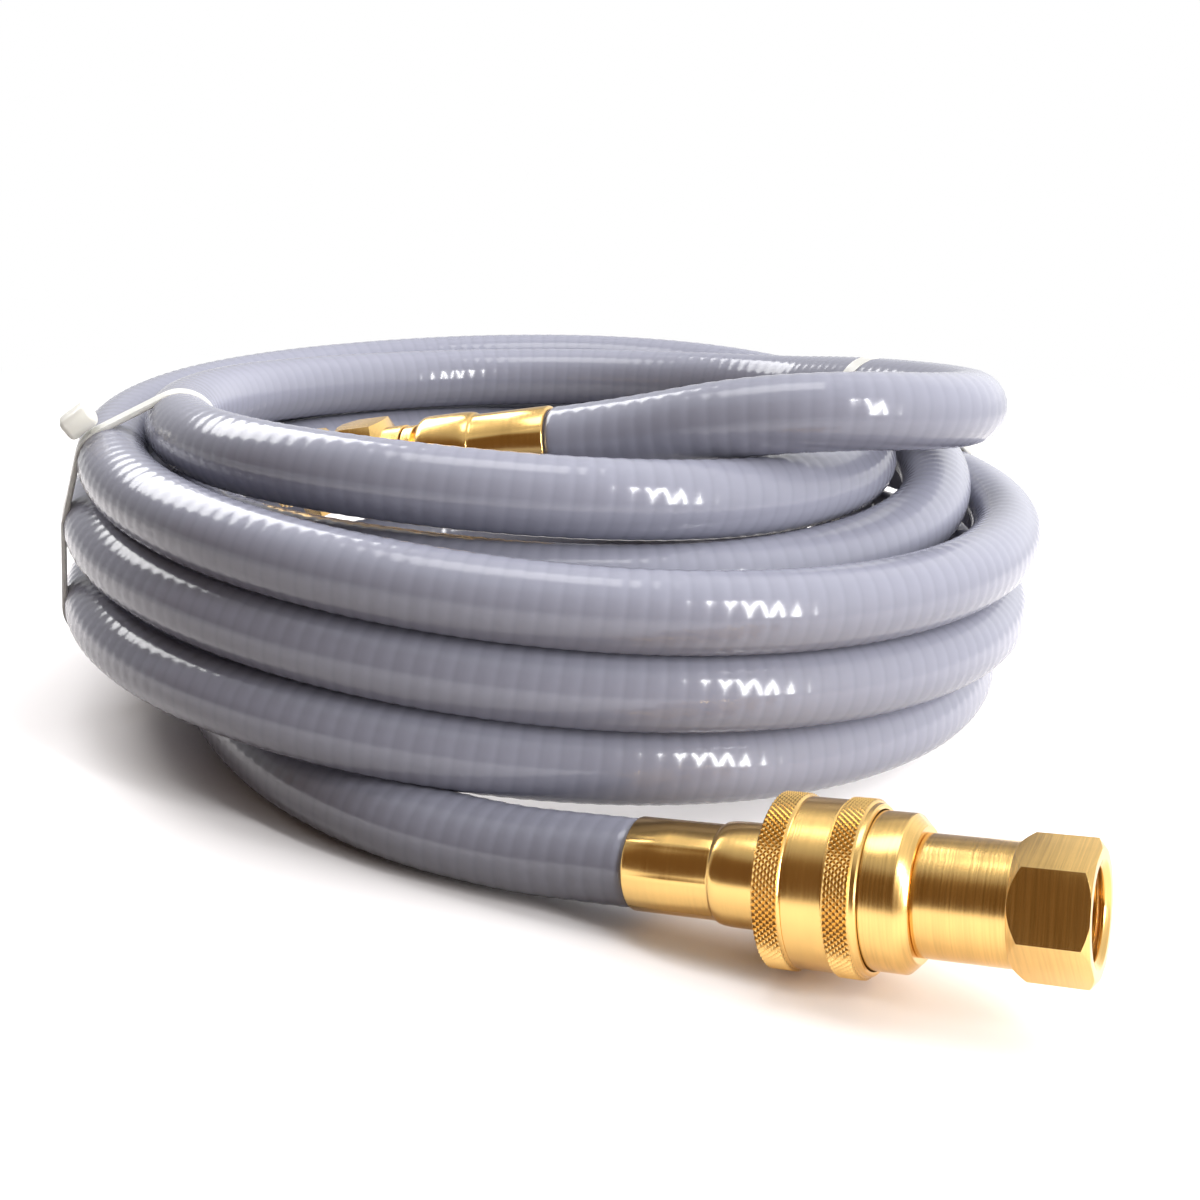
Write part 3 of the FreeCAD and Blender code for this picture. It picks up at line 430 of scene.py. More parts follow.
def turned_piece(name, outline, sides):
    """Piece as from a lathe: a circle that is extruded and scaled along X through an outline of
    (along, radius) places in millimetres, and closed on itself."""
    bpy.ops.object.select_all(action="DESELECT")
    along, radius = outline[0]
    bpy.ops.mesh.primitive_circle_add(vertices=sides, radius=radius * MM, location=(along * MM, 0, 0),
                                      rotation=(0, math.radians(90), 0))
    piece = bpy.context.object
    piece.name = name
    bpy.ops.object.transform_apply(location=True, rotation=True, scale=True)
    bpy.ops.object.mode_set(mode="EDIT")
    bpy.ops.mesh.select_all(action="SELECT")
    for next_along, next_radius in outline[1:] + outline[:1]:
        step = (next_along - along) * MM
        bpy.ops.mesh.extrude_region_move(TRANSFORM_OT_translate={"value": (step, 0, 0)})
        scale = next_radius / radius
        bpy.ops.transform.resize(value=(1, scale, scale), center_override=(next_along * MM, 0, 0))
        along = next_along
        radius = next_radius
    bpy.ops.mesh.select_all(action="SELECT")
    bpy.ops.mesh.remove_doubles(threshold=0.004 * MM)
    bpy.ops.mesh.normals_make_consistent(inside=False)
    bpy.ops.object.mode_set(mode="OBJECT")
    return piece


def place_piece(piece, place):
    """Moves a piece's mesh from its fitting's own frame to its place."""
    piece.data.transform(placed(place))
    piece.data.update()


def corner_radius(across_flats):
    """Distance from a hexagon's middle to its corners."""
    return across_flats / 2 / math.cos(math.radians(30))


def finish_hexagon(piece, across_flats, start, end, place, roll=0.0):
    """Cuts a turned piece to a hexagonal bar of this size between two places, which lie beyond its ends,
    breaks its edges and puts it in its place."""
    bpy.ops.object.select_all(action="DESELECT")
    bpy.ops.mesh.primitive_cylinder_add(vertices=6, radius=corner_radius(across_flats) * MM,
                                        depth=(end - start) * MM, location=((start + end) / 2 * MM, 0, 0),
                                        rotation=(math.radians(roll), math.radians(90), 0))
    bar = bpy.context.object
    apply_modifier(piece, "BOOLEAN", object=bar, operation="INTERSECT", solver="EXACT")
    bpy.data.objects.remove(bar)
    apply_modifier(piece, "BEVEL", width=bpy.context.scene.fitting_sizes.edge_break * 0.8, segments=2,
                   limit_method="ANGLE", angle_limit=math.radians(24))
    smooth(piece, 28)
    place_piece(piece, place)


def station(turned):
    """Distance from the coil's axis and height at an angle, smooth through the places of the turns."""
    places = [LEAD_IN] + [place for turn in TURNS for place in turn]
    at = turned / 60.0 + 1
    first = min(max(int(at), 1), len(places) - 3)
    share = at - first
    result = []
    for a, b, c, d in zip(*places[first - 1:first + 3]):
        bend = (2 * a - 5 * b + 4 * c - d) * share + (3 * b - a - 3 * c + d) * share * share
        result.append(b + share * ((c - a) + bend) / 2)
    return result


def hose_route():
    """Control points of the hose, in metres: out of the coupling, round the coil and up to the flare stem."""
    points = [INLET_MOUTH, INLET_MOUTH - INLET_WAY * INLET_STRAIGHT]
    points += [Vector((x + COIL_X, y + COIL_Y, z)) for x, y, z in INLET_ROUTE]
    for turned in range(COIL_FIRST, COIL_LAST + 1, COIL_STEP):
        distance, height = station(turned)
        distance /= SPLINE_CUT
        angle = math.radians(turned)
        x = COIL_X - distance * math.cos(angle)
        y = COIL_Y + distance * math.sin(angle)
        points.append(Vector((x, y, height)))
    points += [Vector((x + COIL_X, y + COIL_Y, z)) for x, y, z in OUTLET_ROUTE]
    points += [OUTLET_MOUTH - OUTLET_WAY * OUTLET_STRAIGHT, OUTLET_MOUTH]
    return [point * MM for point in points]


def hose_line():
    """Points close together along the smooth spline that the hose's middle follows."""
    route = hose_route()
    curve = bpy.data.curves.new("hose_line", "CURVE")
    curve.dimensions = "3D"
    spline = curve.splines.new("NURBS")
    spline.points.add(len(route) - 1)
    for point, place in zip(spline.points, route):
        point.co = (*place, 1.0)
    spline.order_u = 3
    spline.use_endpoint_u = True
    spline.resolution_u = 40
    line = bpy.data.objects.new("hose_line", curve)
    bpy.context.scene.collection.objects.link(line)
    mesh = bpy.data.meshes.new_from_object(line)
    points = np.array([vertex.co for vertex in mesh.vertices])
    bpy.data.objects.remove(line)
    bpy.data.meshes.remove(mesh)
    return points


def distances_along(points):
    """Distance travelled at each point of a line."""
    gaps = np.linalg.norm(np.diff(points, axis=0), axis=1)
    return np.concatenate([[0], np.cumsum(gaps)])


def along_line(points, steps):
    """Places and cross axes at distances along a line."""
    travelled = distances_along(points)
    places, ahead, behind = (
        np.stack([np.interp(steps + reach, travelled, points[:, k]) for k in range(3)], axis=1)
        for reach in (0.0, HEADING_REACH, -HEADING_REACH)
    )
    heading = ahead - behind
    heading /= np.linalg.norm(heading, axis=1)[:, None]
    side = np.cross(heading, (0, 0, 1))
    side /= np.linalg.norm(side, axis=1)[:, None]
    up = np.cross(side, heading)
    return places, side, up


class GASHOSE_OT_hose(Operator):
    """Make the ribbed hose from the coupling round the coil to the flare stem"""

    bl_idname = "gashose.hose"
    bl_label = "Ribbed Hose"

    def execute(self, context):
        sizes = context.scene.hose_sizes
        line = hose_line()
        sides = sizes.sides
        pitch = sizes.rib_pitch
        length = distances_along(line)[-1]
        ribs = int(length / pitch) + 2
        rows = np.arange(-RIB_ROWS, RIB_ROWS * ribs)
        columns = np.arange(sides)
        # A row of points follows one rib round the hose, so it climbs by a pitch in each round
        distance = pitch * (rows[:, None] / RIB_ROWS + columns[None, :] / sides)
        inside = np.clip(distance, 0, length)
        flat = inside.ravel()
        places, side, up = along_line(line, flat)
        height = np.tile(np.cos(2 * math.pi * rows / RIB_ROWS)[:, None], (1, sides)).ravel()
        ends = np.minimum(flat, length - flat)
        squeeze = np.clip(1 - ends / END_ROUND, 0, 1) ** 2 * END_SQUEEZE
        rib = sizes.rib_height / 2
        radius = sizes.diameter / 2 - rib + rib * height * np.clip(ends / RIB_FADE, 0, 1) - squeeze
        angle = np.tile(2 * math.pi * columns / sides, len(rows))
        points = places + radius[:, None] * (np.cos(angle)[:, None] * side + np.sin(angle)[:, None] * up)
        faces = []
        coordinates = []
        for row in range(len(rows) - 1):
            for column in range(sides):
                turn = column + 1
                wrap = RIB_ROWS if turn == sides else 0
                far_row = row + wrap
                if far_row + 1 >= len(rows):
                    continue
                far = turn % sides
                faces.append((row * sides + column, far_row * sides + far, (far_row + 1) * sides + far,
                              (row + 1) * sides + column))
                near_u = column / sides
                far_u = turn / sides
                coordinates += [(near_u, row, column), (far_u, far_row, far), (far_u, far_row + 1, far),
                                (near_u, row + 1, column)]
        mesh = bpy.data.meshes.new("ribbed_hose")
        mesh.from_pydata(points.tolist(), [], faces)
        layer = mesh.uv_layers.new(name="hose_uv")
        values = np.array([(u, inside[row, column]) for u, row, column in coordinates])
        layer.data.foreach_set("uv", values.ravel())
        # Rib height on each point, 0 in the valleys and 1 on the crests, which the vinyl uses for its painted
        # shade in the valleys.
        rib_layer = mesh.attributes.new("rib", "FLOAT", "POINT")
        rib_layer.data.foreach_set("value", (0.5 + 0.5 * height).astype(np.float32))
        hose = bpy.data.objects.new("ribbed_hose", mesh)
        context.scene.collection.objects.link(hose)
        select_only(hose)
        bpy.ops.object.mode_set(mode="EDIT")
        bpy.ops.mesh.select_all(action="SELECT")
        bpy.ops.mesh.remove_doubles(threshold=0.002 * MM)
        bpy.ops.mesh.select_all(action="DESELECT")
        bpy.ops.mesh.select_non_manifold(extend=False)
        bpy.ops.mesh.edge_face_add()
        bpy.ops.mesh.select_all(action="SELECT")
        bpy.ops.mesh.normals_make_consistent(inside=False)
        bpy.ops.object.mode_set(mode="OBJECT")
        bpy.ops.object.shade_smooth()
        keep_piece(hose, "hose", "hose_jacket", vinyl(), "hose_coil", "hose_tail_inlet", "hose_tail_outlet")
        path = along_line(line, np.linspace(0, length, PATH_POINTS))[0]
        return {"FINISHED"}


def stage_camera():
    """Camera at the photographer's place, a little above the floor."""
    data = bpy.data.cameras.new("camera")
    data.sensor_width = 36.0
    data.lens = FOCAL_PIXELS / FRAME_PIXELS * data.sensor_width
    data.clip_start = 0.01
    data.clip_end = 30.0
    camera = bpy.data.objects.new("camera", data)
    bpy.context.scene.collection.objects.link(camera)
    forward = CAMERA_FORWARD.normalized()
    right = (CAMERA_RIGHT - forward * CAMERA_RIGHT.dot(forward)).normalized()
    up = right.cross(forward)
    turned = Matrix((right, up, -forward)).transposed().to_4x4()
    camera.matrix_world = Matrix.Translation(CAMERA_PLACE) @ turned
    bpy.context.scene.camera = camera


def area_lamp(name, place, target, size, energy):
    """White rectangular softbox, aimed at a target."""
    data = bpy.data.lights.new(name, "AREA")
    data.shape = "RECTANGLE"
    data.size, data.size_y = size
    data.energy = energy
    lamp = bpy.data.objects.new(name, data)
    bpy.context.scene.collection.objects.link(lamp)
    lamp.location = place
    lamp.rotation_mode = "QUATERNION"
    lamp.rotation_quaternion = (Vector(target) - Vector(place)).to_track_quat("-Z", "Y")


def background_rays(tree):
    """Two sockets that are 1 for the camera's rays and for those in reflections and through glass."""
    paths = add_node(tree, "ShaderNodeLightPath").outputs
    mirrored = add_node(tree, "ShaderNodeMath", {0: paths["Is Glossy Ray"], 1: paths["Is Transmission Ray"]},
                        operation="MAXIMUM")
    return paths["Is Camera Ray"], mirrored.outputs[0]


def pale_floor():
    """White floor that keeps the hose's shadow and turns into the white background from 0.25 to 0.5 m out.
    It throws back less light than it shows, so that the undersides stay dark."""
    material, tree = new_material("pale_floor")
    camera, mirrored = background_rays(tree)
    seen = add_node(tree, "ShaderNodeMath", {0: camera, 1: mirrored}, operation="MAXIMUM").outputs[0]
    where = add_node(tree, "ShaderNodeTexCoord").outputs["Object"]
    away = add_node(tree, "ShaderNodeVectorMath", {0: where}, operation="LENGTH").outputs["Value"]
    fade = add_node(tree, "ShaderNodeMapRange", {0: away, 1: 0.25, 2: 0.5},
                    interpolation_type="SMOOTHSTEP").outputs[0]
    shade = add_node(tree, "ShaderNodeMix", {0: seen, 6: linear("#86807E"), 7: linear("#F6F3F3")},
                     data_type="RGBA")
    paper = add_node(tree, "ShaderNodeBsdfDiffuse", {"Color": shade.outputs[2]})
    white = add_node(tree, "ShaderNodeEmission", {"Color": WHITE, "Strength": 1.0})
    share = add_node(tree, "ShaderNodeMath", {0: fade, 1: seen}, operation="MULTIPLY").outputs[0]
    mixed = add_node(tree, "ShaderNodeMixShader", {0: share, 1: paper.outputs[0], 2: white.outputs[0]})
    add_node(tree, "ShaderNodeOutputMaterial", {"Surface": mixed.outputs[0]})
    return material


def studio_world():
    """White background for the camera. For light and reflections it is bright overhead, on the right and
    behind, and the room at the left front is dim and warm. The right is brighter as a light than mirrored."""
    world = bpy.data.worlds.new("studio")
    world.use_nodes = True
    tree = world.node_tree
    tree.nodes.clear()
    camera, mirrored = background_rays(tree)
    direction = add_node(tree, "ShaderNodeTexCoord").outputs["Generated"]
    height = add_node(tree, "ShaderNodeSeparateXYZ", {0: direction}).outputs["Z"]
    rightwards = add_node(tree, "ShaderNodeVectorMath", {0: direction, 1: (0.96, 0.25, 0.12)},
                          operation="DOT_PRODUCT").outputs["Value"]
    backwards = add_node(tree, "ShaderNodeVectorMath", {0: direction, 1: (-0.2, 0.98, 0.0)},
                         operation="DOT_PRODUCT").outputs["Value"]
    room_light = 0.17
    wall = add_node(tree, "ShaderNodeMapRange", {0: mirrored, 3: 3.4, 4: 0.75},
                    interpolation_type="SMOOTHSTEP").outputs[0]
    room = add_node(tree, "ShaderNodeMapRange", {0: mirrored, 3: 0.05, 4: room_light},
                    interpolation_type="SMOOTHSTEP").outputs[0]
    overhead, right, behind = (
        add_node(tree, "ShaderNodeMapRange", reading, interpolation_type="SMOOTHSTEP").outputs[0]
        for reading in (
            {0: height, 1: 0.66, 2: 0.9, 4: 0.5},
            {0: rightwards, 1: 0.3, 2: 0.75, 4: wall},
            {0: backwards, 1: 0.1, 2: 0.5, 4: 0.4},
        )
    )
    level = overhead
    for light in (right, behind, room):
        level = add_node(tree, "ShaderNodeMath", {0: level, 1: light}, operation="ADD").outputs[0]
    warm = add_node(tree, "ShaderNodeMapRange", {0: level, 1: room_light, 2: 0.5, 3: 1.0, 4: 0.0},
                    interpolation_type="SMOOTHSTEP").outputs[0]
    tint = add_node(tree, "ShaderNodeMix", {0: warm, 6: WHITE, 7: linear("#FFCB97")}, data_type="RGBA")
    colour = add_node(tree, "ShaderNodeMix", {0: camera, 6: tint.outputs[2], 7: WHITE}, data_type="RGBA")
    strength = add_node(tree, "ShaderNodeMix", {0: camera, 2: level, 3: 1.0}, data_type="FLOAT")
    background = add_node(tree, "ShaderNodeBackground", {0: colour.outputs[2], 1: strength.outputs[0]})
    add_node(tree, "ShaderNodeOutputWorld", {0: background.outputs[0]})
    return world


class GASHOSE_OT_stage(Operator):
    """Make the pale floor, the soft lamps, the surroundings and the camera"""

    bl_idname = "gashose.stage"
    bl_label = "Stage"

    def execute(self, context):
        stage_camera()
        bpy.ops.object.select_all(action="DESELECT")
        bpy.ops.mesh.primitive_plane_add(size=6.0, location=(0, 0, 0))
        floor = context.object
        floor.name = "floor"
        bpy.ops.object.transform_apply(location=True, rotation=True, scale=True)
        floor.data.materials.append(pale_floor())
        context.scene.world = studio_world()
        area_lamp("top_softbox", (-0.05, 0.1, 1.0), (-0.05, 0.06, 0), (0.55, 0.42), 3.0)
        area_lamp("left_softbox", (-0.62, 0.74, 0.78), (-0.05, 0.0, 0.03), (0.9, 0.5), 10.0)
        area_lamp("window", (0.8, -0.78, 0.5), (0.06, -0.03, 0.05), (0.1, 0.9), 12.0)
        view = context.scene.view_settings
        view.view_transform = "Standard"
        return {"FINISHED"}


# Section through the ferrule, as places along it and radii: round the mouth, over the crimp, out to the body,
# round the end and back through the bore
FERRULE_OUTLINE = [
    (0.25, 7.37),
    (0.0, 7.55),
    (0.0, 8.02),
    (0.12, 8.22),
    (0.42, 8.35),
    (8.0, 8.35),
    (16.0, 8.35),
    (16.3, 8.42),
    (16.55, 8.68),
    (16.85, 8.86),
    (17.5, 9.0),
    (18.6, 9.1),
    (20.5, 9.15),
    (26.6, 9.15),
    (27.6, 9.02),
    (28.25, 8.66),
    (28.55, 8.15),
    (FERRULE_END, 7.6),
    (FERRULE_END, 5.93),
    (27.0, 5.93),
    (27.0, 8.15),
    (17.1, 8.15),
    (CRIMP_END, 7.35),
]


def crimped_ferrule(name, place):
    """Ferrule pressed onto the hose by a crimping tool, whose jaws leave eight fine seams."""
    sizes = bpy.context.scene.fitting_sizes
    ferrule = turned_piece(name, FERRULE_OUTLINE, sizes.sides)
    bpy.ops.object.mode_set(mode="EDIT")
    seam_turn = math.radians(12)
    column = 2 * math.pi / sizes.sides

    def on_seam(co):
        outside = math.hypot(co.y, co.z) > 8.3 * MM
        if not outside or not 0.3 * MM < co.x < (CRIMP_END + 0.2) * MM:
            return False
        turn = (math.atan2(co.z, -co.y) - seam_turn) % (math.pi / 4)
        return min(turn, math.pi / 4 - turn) < column / 2

    select_where(ferrule, on_seam)
    bpy.ops.transform.resize(value=(1, 1.014, 1.014), center_override=(0, 0, 0))
    bpy.ops.object.mode_set(mode="OBJECT")
    smooth(ferrule, 40)
    place_piece(ferrule, place)
    return ferrule


class GASHOSE_OT_ferrules(Operator):
    """Make the two crimped ferrules"""

    bl_idname = "gashose.ferrules"
    bl_label = "Crimped Ferrules"

    def execute(self, context):
        for name, place in (("inlet_ferrule", INLET_PLACE), ("outlet_ferrule", OUTLET_PLACE)):
            ferrule = crimped_ferrule(name + "_shell", place)
            brass = turned_brass("drawn_brass_" + name, place, 6.0, 0.14, 0.04)
            keep_piece(ferrule, "hose", "ferrule_brass", brass, name)
        return {"FINISHED"}


def knurl_outline():
    """Outline of the sleeve: two knurled rings of narrow rows with a plain band between them."""
    edge = [(SLEEVE_FRONT, SLEEVE_FRONT_BORE), (SLEEVE_FRONT, 14.35), (SLEEVE_FRONT + 0.2, 14.62)]
    front, rear = ([(start + pitch * k, KNURL_RADIUS) for k in range(KNURL_ROWS)]
                   for start, pitch in KNURL_RINGS)
    band = [(31.25, 14.6), (31.4, 14.46), (31.6, 14.4), (31.8, 14.5),
            (38.4, 14.5), (38.6, 14.4), (38.8, 14.5)]
    lip = [(43.1, 14.6), (43.25, 14.42), (43.5, 14.4), (43.95, 14.3),
           (SLEEVE_REAR, 14.0), (SLEEVE_REAR, SLEEVE_REAR_BORE)]
    inside = [(36.1, SLEEVE_REAR_BORE), (36.1, SLEEVE_NECK_BORE),
              (31.7, SLEEVE_NECK_BORE), (31.7, SLEEVE_FRONT_BORE)]
    return edge + front + band + rear + lip + inside


class GASHOSE_OT_sleeve(Operator):
    """Make the knurled lock sleeve of the quick coupling"""

    bl_idname = "gashose.sleeve"
    bl_label = "Lock Sleeve"

    def execute(self, context):
        sizes = context.scene.fitting_sizes
        sleeve = turned_piece("knurled_sleeve", knurl_outline(), 2 * sizes.knurl_count)
        column = math.pi / sizes.knurl_count

        def knurl_row(co):
            if abs(math.hypot(co.y, co.z) - KNURL_RADIUS * MM) > 0.004 * MM:
                return None
            for start, pitch in KNURL_RINGS:
                row = (co.x / MM - start) / pitch
                if -0.1 < row < KNURL_ROWS - 0.9:
                    return round(row)
            return None

        def even(co):
            row = knurl_row(co)
            return row is not None and (round(math.atan2(co.z, co.y) / column) + row) % 2 == 0

        def odd(co):
            return knurl_row(co) is not None and not even(co)

        bpy.ops.object.mode_set(mode="EDIT")
        select_where(sleeve, odd)
        bpy.ops.mesh.vert_connect()
        select_where(sleeve, even)
        scale = 1 + sizes.knurl_depth / (KNURL_RADIUS * MM)
        bpy.ops.transform.resize(value=(1, scale, scale), center_override=(0, 0, 0))
        bpy.ops.object.mode_set(mode="OBJECT")
        smooth(sleeve, 24)
        place_piece(sleeve, INLET_PLACE)
        brass = turned_brass("knurled_brass", INLET_PLACE, 5.0, 0.16, 0.1)
        keep_piece(sleeve, "sleeve", "turned_brass", brass, "lock_sleeve")
        return {"FINISHED"}


def thread_rows(start, thread, count):
    """Rings of a thread as outline places, from a place on, each a flat crest with two flanks."""
    crest, root = thread
    rows = []
    flank = (THREAD_PITCH - CREST_FLAT - ROOT_FLAT) / 2
    for k in range(count):
        first = start + THREAD_PITCH * k
        rows += [
            (first, crest),
            (first + flank, root),
            (first + flank + ROOT_FLAT, root),
            (first + 2 * flank + ROOT_FLAT, crest),
        ]
    return rows


class GASHOSE_OT_socket(Operator):
    """Make the socket's front body and its pipe end with the hexagon"""

    bl_idname = "gashose.socket"
    bl_label = "Coupling Socket"

    def execute(self, context):
        sizes = context.scene.fitting_sizes
        edge = sizes.edge_break / MM
        front = turned_piece("socket_shoulder", [
            (29.2, SOCKET_BORE),
            (29.2, NECK_RADIUS - edge),
            (29.2 + edge, NECK_RADIUS),
            (30.18, NECK_RADIUS),
            (30.18, 10.05),
            (31.42, 10.05),
            (31.42, NECK_RADIUS),
            (SHOULDER_FRONT, NECK_RADIUS),
            (SHOULDER_FRONT, SHOULDER_RADIUS - edge),
            (SHOULDER_FRONT + edge, SHOULDER_RADIUS),
            (SHOULDER_REAR - edge, SHOULDER_RADIUS),
            (SHOULDER_REAR + edge * 0.6, SHOULDER_RADIUS - edge * 0.6),
            (BARREL_FRONT, 11.35),
            (BARREL_FRONT, 10.02),
            (45.8, 10.02),
            (45.8, SOCKET_BORE),
        ], sizes.sides)
        smooth(front)
        place_piece(front, INLET_PLACE)
        brass = turned_brass("turned_brass_socket", INLET_PLACE, 3.0, 0.16, 0.2, 0.88)
        keep_piece(front, "socket", "turned_brass", brass, "socket_front_body")
        corner = corner_radius(PIPE_FLATS)
        crest, root = FEMALE_PIPE_THREAD
        threads = thread_rows(PIPE_THREAD_DEPTH, FEMALE_PIPE_THREAD, PIPE_THREAD_TURNS)
        inner = [(PIPE_END - along, radius) for along, radius in threads]
        thread_end = PIPE_END - PIPE_THREAD_DEPTH - PIPE_THREAD_TURNS * THREAD_PITCH
        pipe = turned_piece("socket_pipe_end_body", [
            (46.44, 10.0),
            (BARREL_FRONT, 10.0),
            (BARREL_FRONT, 10.25 - edge),
            (BARREL_FRONT + edge, 10.25),
            (BARREL_REAR, 10.25),
            (BARREL_REAR + 2.0, corner),
            (PIPE_END - CHAMFER_LENGTH, corner),
            (PIPE_END, corner - CHAMFER_DEPTH),
            (PIPE_END, 8.75),
            (PIPE_END - 0.2, root),
        ] + inner + [
            (thread_end, crest),
            (thread_end, 7.2),
            (51.44, 7.2),
            (49.64, 5.4),
            (46.44, 5.4),
        ], sizes.sides)
        finish_hexagon(pipe, PIPE_FLATS, 40.0, 90.0, INLET_PLACE)
        keep_piece(pipe, "socket", "turned_brass", brass, "socket_pipe_end")
        return {"FINISHED"}


class GASHOSE_OT_flare(Operator):
    """Make the flare stem with its nut and the adapter to pipe thread"""

    bl_idname = "gashose.flare"
    bl_label = "Flare Fitting"

    def execute(self, context):
        sizes = context.scene.fitting_sizes
        edge = sizes.edge_break / MM
        brass = turned_brass("turned_brass_flare", OUTLET_PLACE, 7.0, 0.17, 0.25)
        stem = turned_piece("flare_stem_body", [
            (2.0, 3.4),
            (2.0, 4.6),
            (24.7, 4.6),
            (24.7, 6.6),
            (26.98, 6.6),
            (26.98, 5.9),
            (28.62, 5.9),
            (28.62, 6.4),
            (29.8, 6.4),
            (29.8, 7.65 - edge),
            (29.8 + edge, 7.65),
            (32.2 - edge, 7.65),
            (32.2, 7.65 - edge),
            (32.2, 6.2),
            (FLANGE_FRONT, 6.2),
            (FLANGE_FRONT, 7.4),
            (FLANGE_END, 7.4),
            (FLANGE_END, 6.3),
            (39.1, 4.0),
            (FERRULE_END, 4.0),
            (FERRULE_END, 3.4),
        ], sizes.sides)
        smooth(stem)
        place_piece(stem, OUTLET_PLACE)
        keep_piece(stem, "hose", "turned_brass", brass, "outlet_stem")
        corner = corner_radius(NUT_FLATS)
        bore = NUT_THREAD[0]
        inner = thread_rows(41.5, NUT_THREAD, 4)
        nut = turned_piece("flare_nut_body", [
            (NUT_FRONT, 6.28),
            (NUT_FRONT, 7.95 - edge),
            (NUT_FRONT + edge, 7.95),
            (NUT_HEX_FRONT, 7.95),
            (NUT_HEX_FRONT + CHAMFER_DEPTH, corner),
            (NUT_END - 2 * CHAMFER_LENGTH, corner),
            (NUT_END, corner - CHAMFER_DEPTH),
            (NUT_END, bore),
        ] + inner[::-1] + [(38.7, bore), (38.7, 6.28)], sizes.sides)
        finish_hexagon(nut, NUT_FLATS, 25.0, 60.0, OUTLET_PLACE)
        keep_piece(nut, "nut", "turned_brass", brass, "flare_nut")
        corner = corner_radius(ADAPTER_FLATS)
        flare_crest = FLARE_THREAD[0]
        pipe_crest = MALE_PIPE_THREAD[0]
        flare_threads = thread_rows(43.3, FLARE_THREAD, 6)
        pipe_threads = thread_rows(ADAPTER_HEX_REAR + 0.3, MALE_PIPE_THREAD, 5)
        adapter = turned_piece("flare_adapter_body", [
            (39.8, 3.8),
            (39.8, 4.4),
            (41.7, 6.3),
            (42.3, 6.3),
            (43.1, flare_crest),
        ] + flare_threads + [
            (ADAPTER_HEX_FRONT, flare_crest),
            (ADAPTER_HEX_FRONT, corner - CHAMFER_DEPTH),
            (ADAPTER_HEX_FRONT + CHAMFER_LENGTH, corner),
            (ADAPTER_HEX_REAR - CHAMFER_LENGTH, corner),
            (ADAPTER_HEX_REAR, corner - CHAMFER_DEPTH),
            (ADAPTER_HEX_REAR, pipe_crest),
        ] + pipe_threads + [
            (ADAPTER_THREAD_END, pipe_crest),
            (ADAPTER_END, 6.1),
            (ADAPTER_END, 3.8),
        ], sizes.sides)
        finish_hexagon(adapter, ADAPTER_FLATS, 30.0, 75.0, OUTLET_PLACE, ADAPTER_ROLL)
        keep_piece(adapter, "adapter", "turned_brass", brass, "flare_adapter")
        return {"FINISHED"}


def coil_crossings(line, turned):
    """Distances from the coil's axis and heights, in metres, where the hose passes an angle round it."""
    x = line[:, 0] - COIL_X * MM
    y = line[:, 1] - COIL_Y * MM
    angle = math.radians(turned)
    outward = -x * math.cos(angle) + y * math.sin(angle)
    across = x * math.sin(angle) + y * math.cos(angle)
    found = []
    for k in range(len(line) - 1):
        if across[k] * across[k + 1] <= 0 and outward[k] > COIL_HOLLOW:
            found.append((outward[k], line[k, 2]))
    return found


def strap_loop(places, radius):
    """Loop of a strap pulled tight round circles at these places."""
    loop = []
    for k in range(STRAP_POINTS):
        angle = 2 * math.pi * k / STRAP_POINTS
        x = math.cos(angle)
        z = math.sin(angle)
        distance, height = max(places, key=lambda place: place[0] * x + place[1] * z)
        loop.append((distance + radius * x, height + radius * z))
    return loop


def tie_strap(name, places, sizes):
    """Strap swept round the bundle: thick edges and a shallow channel between them."""
    half = sizes.width / 2
    thick = sizes.thickness
    profile = bpy.data.curves.new("strap_profile", "CURVE")
    profile.dimensions = "2D"
    section = [(0, -half), (0, half), (thick * 0.7, half), (thick, half * 0.86), (thick, half * 0.62),
               (thick * 0.72, half * 0.5), (thick * 0.72, -half * 0.5), (thick, -half * 0.62),
               (thick, -half * 0.86), (thick * 0.7, -half)]
    spline = profile.splines.new("POLY")
    spline.points.add(len(section) - 1)
    for point, (x, y) in zip(spline.points, section):
        point.co = (x, y, 0, 1)
    spline.use_cyclic_u = True
    shape = bpy.data.objects.new("strap_profile", profile)
    bpy.context.scene.collection.objects.link(shape)
    path = bpy.data.curves.new(name, "CURVE")
    path.dimensions = "2D"
    loop = path.splines.new("POLY")
    points = strap_loop(places, STRAP_REACH)
    loop.points.add(len(points) - 1)
    for point, (x, y) in zip(loop.points, points):
        point.co = (x, y, 0, 1)
    loop.use_cyclic_u = True
    path.bevel_mode = "OBJECT"
    path.bevel_object = shape
    strap = bpy.data.objects.new(name, path)
    bpy.context.scene.collection.objects.link(strap)
    select_only(strap)
    bpy.ops.object.convert(target="MESH")
    strap = bpy.context.object
    bpy.data.objects.remove(shape)
    return strap


